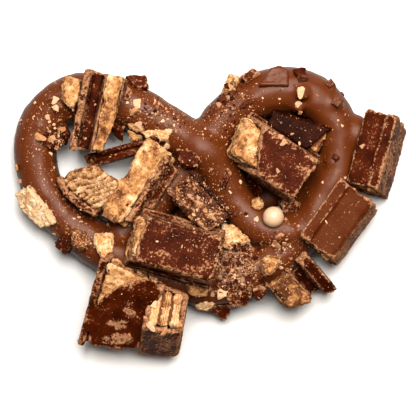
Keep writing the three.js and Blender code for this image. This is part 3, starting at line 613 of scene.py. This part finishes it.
def flake(name, seed, grid, rough, material, slot):
    """A loose bit: its CAD form with a crumbled or torn skin."""
    piece = fine_skin(f"{name}_bit", name, grid)
    ironed(piece, 3)
    places, facing = points_of(piece), normals_of(piece)
    edge = edges_of(piece, rounds=8, low=0.05, high=0.22)
    crumble = waves(places, 1.6 * MM, seed, 3)
    hollow = ramp(pits(places, 0.9 * MM, seed + 6), 0.4, 0.12)
    grains = crumbly(places, seed + 5)
    lift = SWOLLEN.get(name, USUAL_SWELL) + rough * (crumble - 0.7 * hollow + 1.5 * grains)
    move_to(piece, places + facing * (lift * MM)[:, None])
    if slot == "bar_chocolate":
        dusty = BIT_DUST.get(name, USUAL_DUST)
        keep(piece, worn=dusty * (edge + 0.3 * crumble) - 0.35 * (1 - dusty))
    if slot == "milk_chocolate":
        # Painted shading held at the value of a lit top
        keep(piece, crown=np.full(len(places), 0.75))
    if slot == "wafer":
        pale = PALER_AND_LIT.get(name, 0.0)
        # Browner in the pits: painted shade
        keep(piece, relief=0.5 + 0.25 * crumble + 0.35 * grains - 0.3 * hollow + pale,
             level=thickness_level(places))
    hand_over(piece, material, slot, name)


def terraced_slab(sizes, material):
    """The torn slab: sheets that step down one after the other like terraces."""
    piece = fine_skin("terraced_slab", "wafer_slab", sizes.flake_grid)
    ironed(piece, 3)
    places, facing = points_of(piece), normals_of(piece)
    across = places @ np.array(LEDGES_FALL)
    bend = 0.85 * MM * waves(places, 5 * MM, 41, 2)
    stair = (across + bend) / LEDGE
    step = stair - np.floor(stair)
    crumble = waves(places, 1.7 * MM, 42, 3)
    hollow = ramp(pits(places, 0.9 * MM, 43), 0.42, 0.12)
    top = ramp(facing[:, 2], 0.3, 0.7)
    grains = crumbly(places, 47)
    lift = 0.28 + 0.25 * crumble - 0.3 * hollow + 0.35 * grains + top * (1.4 * step - 0.75)
    move_to(piece, places + facing * (lift * MM)[:, None])
    # Painted light and shade: the tops of the ledges grow paler towards each lip, while their feet
    # and the sides stay browner, under random crumbly tone
    keep(piece, relief=0.05 + 0.75 * ramp(step, 0.0, 0.6) * top + 0.4 * crumble + 0.45 * grains,
         level=0.5 + 0.4 * crumble)
    hand_over(piece, material, "wafer", "wafer_slab")


def smooth_chip(sizes, material):
    """The white chip: a smooth drop with a faint wobble."""
    piece = fine_skin("white_chip_drop", "white_chip", sizes.flake_grid)
    ironed(piece, 12)
    places, facing = points_of(piece), normals_of(piece)
    move_to(piece, places + facing * ((0.05 + 0.06 * waves(places, 2.4 * MM, 8)) * MM)[:, None])
    hand_over(piece, material, "creamy_white", "white_chip")


# Crumbs

# Where crumbs lie thickest: x and y, reach in x and y, in mm, and the share that falls there
HEAPS = (
    ((6.4, -14.6), (5.6, 6.5), 0.24),
    ((-14, 26), (12, 7), 0.10),
    ((4, 27), (8, 9), 0.07),
    ((-41, 20), (8, 15), 0.12),
    ((18, -10), (9, 8), 0.05),
    ((-36, -2), (10, 9), 0.06),
    ((-4, 2), (11, 11), 0.08),
    ((0, 0), (50, 38), 0.36),
)

# The same for chocolate shavings
SHAVINGS = (
    ((6.8, -14.6), (5.0, 6.0), 0.40),
    ((4.0, -20.2), (7.5, 2.4), 0.20),
    ((-13.6, 25.4), (6.5, 4.5), 0.10),
    ((-40.4, 19.6), (3.6, 3.0), 0.08),
    ((4.4, 30.4), (3.6, 6.0), 0.16),
    ((18.0, -8.4), (2.4, 2.6), 0.08),
)

# Single bits that show by themselves: x, y, size and kind, in mm
SINGLE_BITS = (
    (-41.3, 29.6, 2.7, "pale"), (-41.2, 27.6, 2.4, "pale"), (-43.4, 25.1, 2.0, "pale"),
    (-43.0, 23.9, 1.0, "pale"), (-45.3, 19.7, 2.9, "tan"), (-42.3, 19.3, 2.6, "tan"),
    (-39.7, 21.5, 3.2, "tan"), (-51.6, 11.8, 2.3, "tan"), (-47.0, 29.0, 1.2, "pale"),
    (-45.9, 33.6, 2.2, "dark"), (-41.7, 34.4, 1.1, "tan"), (-19.6, 28.6, 3.2, "pale"),
    (-20.5, 26.6, 2.2, "tan"), (-22.3, 29.0, 1.3, "pale"), (-19.2, 23.1, 2.6, "pale"),
    (-12.9, 24.1, 1.3, "pale"), (-11.7, 17.4, 2.2, "pale"), (-12.0, 27.3, 0.9, "tan"),
    (24.0, 31.5, 2.9, "pale"), (23.2, 28.5, 2.4, "pale"), (23.8, 26.4, 1.4, "tan"),
    (18.2, 30.0, 0.9, "pale"), (13.7, 30.2, 0.8, "pale"), (28.1, 30.9, 0.9, "tan"),
    (33.8, 24.2, 0.8, "pale"), (34.9, 22.8, 1.0, "pale"), (35.7, 9.1, 0.8, "pale"),
    (29.7, 7.8, 0.8, "pale"), (33.2, 14.3, 2.3, "dark"), (12.0, -2.0, 1.5, "pale"),
    (9.6, -1.2, 1.0, "pale"), (18.1, -6.5, 1.9, "tan"), (17.5, -8.5, 2.4, "tan"),
    (8.1, -18.8, 2.4, "pale"), (2.9, -22.0, 3.0, "pale"), (18.4, -14.7, 1.6, "pale"),
    (10.0, -17.9, 3.0, "dark"), (-26.2, -12.8, 1.3, "pale"), (-32.2, -8.6, 1.1, "pale"),
    (-31.0, -9.2, 0.9, "pale"), (19.2, 18.1, 2.4, "rub"), (18.3, 19.7, 1.6, "rub"),
    (-6.2, -7.8, 2.3, "rub"), (17.6, 10.6, 1.6, "rub"), (40.1, 17.3, 1.7, "rub"),
    (3.3, 30.0, 2.8, "dark"), (5.6, 31.4, 2.2, "dark"), (0.6, 27.0, 2.4, "dark"),
    (8.7, 28.1, 2.2, "dark"), (10.4, 28.9, 1.6, "dark"), (-1.3, 25.2, 1.9, "dark"),
    (2.2, 28.4, 1.8, "rub"), (-15.1, -24.7, 2.4, "pale"), (-9.0, -23.9, 2.2, "tan"),
    (-15.7, -29.9, 2.6, "pale"), (-12.4, -31.5, 2.4, "tan"), (-8.1, -29.9, 2.2, "tan"),
    (-16.0, -27.0, 1.8, "tan"),
)
SINGLES_SCALE = 1.2    # a jagged bit fills less than the ball it is cut from

# Small flat squares of chocolate: x, y and size, in mm
SQUARE_BITS = ((33.6, 29.1, 3.0), (31.8, 34.0, 2.5), (24.5, 35.6, 2.8), (35.2, 31.5, 1.2))
TONES = {"pale": 0.72, "tan": 0.38, "dark": 0.4, "rub": 0.95}    # how light each kind is
SQUARE_TONE = 0.45

# Smallest and largest size of each sort of scattered crumb, in mm; real dust is finer still
FINE, RUBBED, FLAKED = (0.13, 0.46), (0.13, 0.48), (0.22, 0.95)
LARGE, BROWN, SHAVED = (0.5, 1.5), (0.35, 1.4), (0.3, 1.5)

CRUMB_LIFT = 0.12    # how far a crumb's middle stands off its ground, as a share of its size
UNDERSIDE = -0.3     # crumbs cling only where the skin faces up more than this


def chips_of(kinds, corners, cuts, seed):
    """A few crumb shapes: closed angular bits of about unit size, all different."""
    draw = np.random.default_rng(seed)
    mesh = bpy.data.meshes.new("chip")
    shapes = []
    for index in range(kinds):
        spots = draw.normal(size=(corners, 3))
        spots *= draw.uniform(0.36, 0.5, (corners, 1)) / np.linalg.norm(spots, axis=1)[:, None]
        chip = bmesh.new()
        for spot in spots:
            chip.verts.new(spot)
        bmesh.ops.convex_hull(chip, input=chip.verts[:])
        loose = [corner for corner in chip.verts if not corner.link_faces]
        bmesh.ops.delete(chip, geom=loose, context="VERTS")
        if cuts:
            bmesh.ops.subdivide_edges(chip, edges=chip.edges[:], cuts=cuts, use_grid_fill=True)
        bmesh.ops.triangulate(chip, faces=chip.faces[:])
        chip.to_mesh(mesh)
        chip.free()
        places = np.empty(len(mesh.vertices) * 3)
        mesh.vertices.foreach_get("co", places)
        faces = np.empty(len(mesh.polygons) * 3, dtype=np.int64)
        mesh.polygons.foreach_get("vertices", faces)
        places = places.reshape(-1, 3)
        if cuts:
            rough = 0.14 * waves(places, 0.3, seed + index, 2)
            rough = rough - 0.2 * pits(places, 0.25, seed + index)
            places = places * (1.1 + rough)[:, None]
        places = places * draw.uniform((1.0, 0.8, 0.4), (1.3, 1.1, 0.8))
        shapes.append((places, faces.reshape(-1, 3)))
    bpy.data.meshes.remove(mesh)
    return shapes


def splinter():
    """A flat four-sided bit of broken chocolate, of about unit size."""
    corners = ((-0.5, -0.36), (0.42, -0.45), (0.5, 0.3), (-0.34, 0.46))
    low = [(x, y, -0.14) for x, y in corners]
    high = [(0.9 * x, 0.9 * y, 0.16) for x, y in corners]
    faces = [(0, 2, 1), (0, 3, 2), (4, 5, 6), (4, 6, 7)]
    for i in range(4):
        following = (i + 1) % 4
        faces += [(i, following, following + 4), (i, following + 4, i + 4)]
    return np.array(low + high), np.array(faces)


def landing(x, y, pieces):
    """Where a crumb dropped at x, y comes to lie: the place, the slope and the piece, or None."""
    best = None
    start = Vector((x, y, ABOVE_ALL))
    for piece, low, high in pieces:
        if low[0] <= x <= high[0] and low[1] <= y <= high[1]:
            hit, place, normal, _ = piece.ray_cast(start, Vector((0, 0, -1)))
            if hit and (best is None or place.z > best[0].z):
                best = (place, normal, piece)
    return best


def crumb_piece(name, spots, shapes, seed, material, slot, tumble=0.35):
    """Joins one crumb for each spot into a single mesh, tipped at random by about tumble."""
    draw = np.random.default_rng(seed)
    places, faces, tones, count = [], [], [], 0
    for place, normal, size, tone in spots:
        points, sides = shapes[draw.integers(len(shapes))]
        spin = Matrix.Rotation(draw.uniform(0, math.tau), 3, "Z")
        tip = Euler(draw.normal(0, tumble, 3)).to_matrix()
        turn = np.array(normal.to_track_quat("Z", "Y").to_matrix() @ tip @ spin)
        moved = (points * size) @ turn.T + np.array(place + normal * size * CRUMB_LIFT)
        if moved[:, 2].max() > CRUMB_TOP or moved[:, 2].min() < 0:
            continue
        places.append(moved)
        faces.append(sides + count)
        tones.append(np.full(len(points), tone))
        count += len(points)
    mesh = bpy.data.meshes.new(name)
    places, faces = np.concatenate(places), np.concatenate(faces)
    mesh.from_pydata(places, [], faces.tolist())
    piece = link(name, mesh)
    keep(piece, tone=np.concatenate(tones))
    hand_over(piece, material, slot)


def dropped(count, seed, pieces, sizes_mm, steepest, heaps=HEAPS, pile=0.0):
    """Drops crumbs over the heaps, piled up to pile mm, and gives the spots where they stay.

    Small ones are the most common, and none stays where the skin faces up less than steepest.
    """
    draw = np.random.default_rng(seed)
    shares = np.array([heap[2] for heap in heaps])
    spots = []
    for _ in range(count):
        centre, reach, _ = heaps[draw.choice(len(heaps), p=shares / shares.sum())]
        angle, out = draw.uniform(0, math.tau), math.sqrt(draw.random()) + draw.normal(0, 0.22)
        x = (centre[0] + reach[0] * out * math.cos(angle)) * MM
        y = (centre[1] + reach[1] * out * math.sin(angle)) * MM
        found = landing(x, y, pieces)
        size = sizes_mm[0] * (sizes_mm[1] / sizes_mm[0]) ** (draw.random() ** 1.8)
        tone = draw.random()
        if not found or "drop" in found[2].name:
            continue
        if found[0].z > CRUMB_FOOT and found[1].z > steepest:
            place = found[0] + Vector((0, 0, pile * MM * draw.random()))
            spots.append((place, found[1], size * MM, tone))
    return spots


def clinging(layer, least, count, seed, sizes_mm):
    """Crumbs that stick where the pieces' own layer of numbers is high, on tops and on sides."""
    draw = np.random.default_rng(seed)
    places, facing, weight = [], [], []
    for piece in bpy.context.scene.objects:
        if piece.type == "MESH" and layer in piece.data.attributes:
            share = np.empty(len(piece.data.vertices), dtype=np.float32)
            piece.data.attributes[layer].data.foreach_get("value", share)
            places.append(points_of(piece))
            facing.append(normals_of(piece))
            liked = np.maximum(share, 0).astype(float) ** 2 + least
            weight.append(liked * (facing[-1][:, 2] > UNDERSIDE))
    places, facing, weight = map(np.concatenate, (places, facing, weight))
    chosen = draw.choice(len(places), count, replace=False, p=weight / weight.sum())
    spots = []
    for index in chosen:
        size = sizes_mm[0] * (sizes_mm[1] / sizes_mm[0]) ** (draw.random() ** 2)
        spots.append((Vector(places[index]), Vector(facing[index]), size * MM, draw.random()))
    return spots


# Settings


class PretzelSizes(bpy.types.PropertyGroup):
    """How finely the skins are cut, and how many crumbs there are"""
    rope_grid: FloatProperty(name="Rope grid", description="Face size of the pretzel's skin",
                             default=0.52 * MM, unit="LENGTH")
    chunk_grid: FloatProperty(name="Chunk grid", description="Face size of the bar chunks",
                              default=0.38 * MM, unit="LENGTH")
    flake_grid: FloatProperty(name="Flake grid", description="Face size of the loose flakes",
                              default=0.28 * MM, unit="LENGTH")
    fine_crumbs: IntProperty(name="Fine crumbs", description="Fine crumbs that are dropped",
                             default=11000)
    rubbed_crumbs: IntProperty(name="Rubbed crumbs", description="Crumbs that cling to worn edges",
                               default=7500)
    flaked_crumbs: IntProperty(name="Flaked crumbs", description="Crumbs that cling to the wafer",
                               default=4200)
    crumbs: IntProperty(name="Crumbs", description="Larger crumbs that are dropped", default=650)
    dark_crumbs: IntProperty(name="Dark crumbs", description="Chocolate crumbs that are dropped",
                             default=420)
    shavings: IntProperty(name="Shavings", description="Chocolate shavings dropped in heaps",
                          default=680)


def colour(name, description, code):
    """A colour setting whose default is given as sRGB hex."""
    return FloatVectorProperty(name=name, description=description, subtype="COLOR", size=4,
                               min=0, max=1, default=linear(code))


class PretzelColours(bpy.types.PropertyGroup):
    """The colours of chocolate, wafer, cream and crumbs"""
    milk: colour("Milk chocolate", "Coating where it is thick", "#572a0e")
    # The two darker milk colours carry painted shade. The deep one lies partly between the lit tops
    # and the shaded sides, as well as in the ripples. The thin one lies on sides that face down or
    # away from the light; the coating is not thinner there.
    milk_deep: colour("Milk chocolate, deep", "Coating where it ripples", "#4c260d")
    milk_painted_shade: colour("Milk chocolate, thin", "Coating low on the sides", "#2e1608")
    bar: colour("Bar chocolate", "Chocolate of the bar", "#4a1c06")
    bar_deep: colour("Bar chocolate, deep", "Darkest chocolate of the bar", "#311003")
    # The deepest colour is painted shade on a chunk down in a loop, and elsewhere the darkest
    # random spots
    bar_darkest_and_shaded: colour("Bar chocolate, deepest", "Chocolate down in a loop", "#120501")
    bar_smooth: colour("Bar chocolate, smooth", "Chocolate of a clean flat side", "#542b12")
    bar_rubbed: colour("Rubbed chocolate", "Scuffed chocolate", "#6a3f27")
    bar_dust: colour("Dust", "Palest dust on rubbed edges", "#a27a5c")
    grit: colour("Ground filling", "Torn chocolate with ground wafer", "#5f3a25")
    # The palest wafer colour is partly a painted highlight, on flakes made paler so that they stand
    # lit
    wafer_palest_and_lit: colour("Wafer, palest", "Thin flakes that have hardly browned", "#ecd2b0")
    wafer_pale: colour("Wafer, pale", "Pale flakes of the wafer", "#dcb386")
    wafer_gold: colour("Wafer, golden", "High spots of the wafer", "#c08e5b")
    wafer: colour("Wafer", "Baked wafer", "#a8774b")
    wafer_dusty: colour("Wafer, dusty", "Wafer with chocolate rubbed in", "#7d5034")
    # The brown colour is partly painted shade, in the pits and at the foot of the slab's ledges
    wafer_brown: colour("Wafer, brown", "Pores of the wafer", "#5a3519")
    cream: colour("Cream", "Cocoa cream between the sheets", "#6f4429")
    white: colour("White chocolate", "White chip", "#c4a68c")
    white_deep: colour("White chocolate, deep", "White chip, darker places", "#bd9f80")
    crumb_light: colour("Crumb, light", "Palest crumbs", "#c9a383")
    crumb: colour("Crumb", "Common crumbs", "#a67853")
    crumb_dark: colour("Crumb, dark", "Darkest wafer crumbs", "#7a4c2e")


# Operators


def pieces_here():
    """The dressed pieces with their boxes, for crumbs to land on."""
    bpy.context.view_layer.update()
    found = []
    for piece in bpy.context.scene.objects:
        if piece.get("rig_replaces"):
            corners = np.array([piece.matrix_world @ Vector(c) for c in piece.bound_box])
            found.append((piece, corners.min(axis=0), corners.max(axis=0)))
    return found


class PRETZEL_OT_rope(bpy.types.Operator):
    """Dip the pretzel: one smooth skin of milk chocolate over the strands"""
    bl_idname = "pretzel.rope"
    bl_label = "Dip the pretzel"

    def execute(self, context):
        scene = context.scene
        dipped_pretzel(scene.pretzel_sizes, milk_chocolate(scene.pretzel_colours))
        return {"FINISHED"}


class PRETZEL_OT_chunks(bpy.types.Operator):
    """Break the bar: chocolate and wafer of each chunk"""
    bl_idname = "pretzel.chunks"
    bl_label = "Lay the chunks of bar"

    def execute(self, context):
        sizes, colours = context.scene.pretzel_sizes, context.scene.pretzel_colours
        coat, core, grit = bar_chocolate(colours), baked_wafer(colours), gritty_chocolate(colours)
        for seed, chunk in enumerate(CHUNKS):
            gritty = chunk in GRITTY_CHUNKS
            bar_coat(chunk, 10 + 20 * seed, sizes, grit if gritty else coat)
            wafer_core(chunk, 15 + 20 * seed, sizes, grit if gritty else core)
        return {"FINISHED"}


class PRETZEL_OT_flakes(bpy.types.Operator):
    """Scatter the flakes: torn slab, strip, wafer flakes, shards, curls and the white chip"""
    bl_idname = "pretzel.flakes"
    bl_label = "Scatter the flakes"

    def execute(self, context):
        sizes, colours = context.scene.pretzel_sizes, context.scene.pretzel_colours
        milk, coat, core = (bpy.data.materials[name] for name in (MILK_NAME, BAR_NAME, WAFER_NAME))
        terraced_slab(sizes, core)
        for seed, name in enumerate(WAFER_FLAKES):
            flake(name, 300 + 7 * seed, sizes.flake_grid, 0.26, core, "wafer")
        for seed, name in enumerate(CHOCOLATE_SHARDS):
            flake(name, 500 + 7 * seed, sizes.flake_grid, 0.2, coat, "bar_chocolate")
        flake("wafer_slab_rim", 700, sizes.flake_grid, 0.22, coat, "bar_chocolate")
        flake("channelled_strip", 710, sizes.flake_grid, 0.07, coat, "bar_chocolate")
        flake("top_plate", 720, sizes.flake_grid, 0.06, milk, "milk_chocolate")
        smooth_chip(sizes, white_chocolate(colours))
        return {"FINISHED"}


class PRETZEL_OT_crumbs(bpy.types.Operator):
    """Drop the crumbs: fine dust, larger wafer crumbs and chocolate crumbs"""
    bl_idname = "pretzel.crumbs"
    bl_label = "Drop the crumbs"

    def execute(self, context):
        sizes, colours = context.scene.pretzel_sizes, context.scene.pretzel_colours
        pale = loose_crumbs("wafer crumbs, dry", colours.crumb_dark, colours.crumb,
                            colours.crumb_light)
        dark = loose_crumbs("chocolate crumbs, broken", colours.bar_deep, colours.bar,
                            colours.bar_dust)
        pieces = pieces_here()
        grains = chips_of(kinds=7, corners=9, cuts=0, seed=5)
        bits = chips_of(kinds=8, corners=12, cuts=1, seed=15)
        lumps = chips_of(kinds=8, corners=12, cuts=3, seed=25)
        fine = dropped(sizes.fine_crumbs, 1, pieces, FINE, steepest=0.05)
        if not fine:
            raise RuntimeError("no crumb landed on the pretzel")
        crumb_piece("fine_wafer_crumbs", fine, grains, 2, pale, "wafer")
        rubbed = clinging("worn", 0.02, sizes.rubbed_crumbs, 8, RUBBED)
        crumb_piece("rubbed_crumbs", rubbed, grains, 9, dark, "bar_chocolate")
        flaked = clinging("level", 1.0, sizes.flaked_crumbs, 12, FLAKED)
        crumb_piece("flaked_crumbs", flaked, grains, 13, pale, "wafer")
        large = dropped(sizes.crumbs, 3, pieces, LARGE, steepest=0.3)
        brown = dropped(sizes.dark_crumbs, 4, pieces, BROWN, steepest=0.25)
        singles = {"wafer": [], "bar_chocolate": []}
        for x, y, size, kind in SINGLE_BITS:
            found = landing(x * MM, y * MM, pieces)
            if found:
                slot = "wafer" if kind in ("pale", "tan") else "bar_chocolate"
                singles[slot].append((*found[:2], SINGLES_SCALE * size * MM, TONES[kind]))
        for name, slot, seed, material in (("wafer_lumps", "wafer", 21, pale),
                                           ("chocolate_lumps", "bar_chocolate", 22, dark)):
            crumb_piece(name, singles[slot], lumps, seed, material, slot, tumble=0.12)
        flat = [(*landing(x * MM, y * MM, pieces)[:2], size * MM, SQUARE_TONE)
                for x, y, size in SQUARE_BITS]
        shaved = dropped(sizes.shavings, 31, pieces, SHAVED, 0.2, heaps=SHAVINGS, pile=0.6)
        splinters = [splinter()] * 3
        crumb_piece("chocolate_shavings", shaved, bits[:5] + splinters, 32, dark, "bar_chocolate")
        crumb_piece("wafer_crumbs", large, bits, 6, pale, "wafer")
        crumb_piece("chocolate_crumbs", brown, bits[:4] + splinters, 7, dark, "bar_chocolate")
        crumb_piece("chocolate_squares", flat, splinters[:1], 11, dark, "bar_chocolate", 0.05)
        return {"FINISHED"}


# Stage, in metres and watts

FLOOR_SIZE = 3.0
CAMERA_HEIGHT = 0.7                     # a long lens from straight above
CAMERA_OVER = (-0.8 * MM, 0.95 * MM)    # the middle of the picture on the floor
PHOTO_WIDTH = 416 / 3.7 * MM            # what the picture's width takes in on the floor
FILM_WIDTH = 36.0                       # millimetres, for the camera alone
LAMPS = (                               # name, place, size and power
    ("softbox", (0.08, 0.27, 0.66), 0.48, 11.4),
    ("fill", (-0.14, 0.20, 0.66), 0.60, 0.9),
)
LAMP_COLOUR = (1.0, 0.96, 0.91)
SKY_COLOUR, SKY_STRENGTH = (1.0, 0.9, 0.82, 1), 0.11


class PRETZEL_OT_stage(bpy.types.Operator):
    """Set the stage: a pale floor, soft light from above and the camera looking straight down"""
    bl_idname = "pretzel.stage"
    bl_label = "Set the stage"

    def execute(self, context):
        scene = context.scene
        half = FLOOR_SIZE / 2
        mesh = bpy.data.meshes.new("floor")
        mesh.from_pydata([(-half, -half, 0), (half, -half, 0), (half, half, 0), (-half, half, 0)],
                         [], [(0, 1, 2, 3)])
        floor = link("floor", mesh)
        paper = bpy.data.materials.new("paper, matt white")
        paper.use_nodes = True
        shader = next(n for n in paper.node_tree.nodes if n.type == "BSDF_PRINCIPLED")
        fill(paper.node_tree, shader, {"Base Color": linear("#d6d6d6"), "Roughness": 0.9})
        mesh.materials.append(paper)
        world = bpy.data.worlds.new("studio")
        scene.world = world
        world.use_nodes = True
        sky = next(n for n in world.node_tree.nodes if n.type == "BACKGROUND")
        fill(world.node_tree, sky, {"Color": SKY_COLOUR, "Strength": SKY_STRENGTH})
        for name, place, size, power in LAMPS:
            lamp = bpy.data.lights.new(name, "AREA")
            lamp.shape = "SQUARE"
            lamp.size = size
            lamp.energy = power
            lamp.color = LAMP_COLOUR
            light = link(name, lamp)
            light.location = place
            light.rotation_euler = (-Vector(place)).to_track_quat("-Z", "Y").to_euler()
        lens = bpy.data.cameras.new("camera")
        lens.sensor_width = FILM_WIDTH
        lens.lens = FILM_WIDTH * CAMERA_HEIGHT / PHOTO_WIDTH
        camera = link("camera", lens)
        camera.location = (*CAMERA_OVER, CAMERA_HEIGHT)
        scene.camera = camera
        scene.view_settings.view_transform = "Standard"
        scene.view_settings.look = "Medium High Contrast"
        return {"FINISHED"}


class PRETZEL_PT_panel(bpy.types.Panel):
    """The pretzel's steps, sizes and colours"""
    bl_label = "Dipped pretzel"
    bl_idname = "PRETZEL_PT_panel"
    bl_space_type = "VIEW_3D"
    bl_region_type = "UI"
    bl_category = "Pretzel"

    def draw(self, context):
        for step in STEPS:
            self.layout.operator(step.bl_idname)
        for group in (context.scene.pretzel_sizes, context.scene.pretzel_colours):
            column = self.layout.column()
            for name in group.__annotations__:
                column.prop(group, name)


STEPS = (PRETZEL_OT_stage, PRETZEL_OT_rope, PRETZEL_OT_chunks, PRETZEL_OT_flakes, PRETZEL_OT_crumbs)
CLASSES = (PretzelSizes, PretzelColours, *STEPS, PRETZEL_PT_panel)


def register():
    for entry in CLASSES:
        bpy.utils.register_class(entry)
    bpy.types.Scene.pretzel_sizes = PointerProperty(type=PretzelSizes)
    bpy.types.Scene.pretzel_colours = PointerProperty(type=PretzelColours)


def unregister():
    del bpy.types.Scene.pretzel_colours
    del bpy.types.Scene.pretzel_sizes
    for entry in reversed(CLASSES):
        bpy.utils.unregister_class(entry)


def main():
    register()
    bpy.ops.pretzel.stage()
    bpy.ops.pretzel.rope()
    bpy.ops.pretzel.chunks()
    bpy.ops.pretzel.flakes()
    bpy.ops.pretzel.crumbs()


if __name__ == "__main__":
    main()
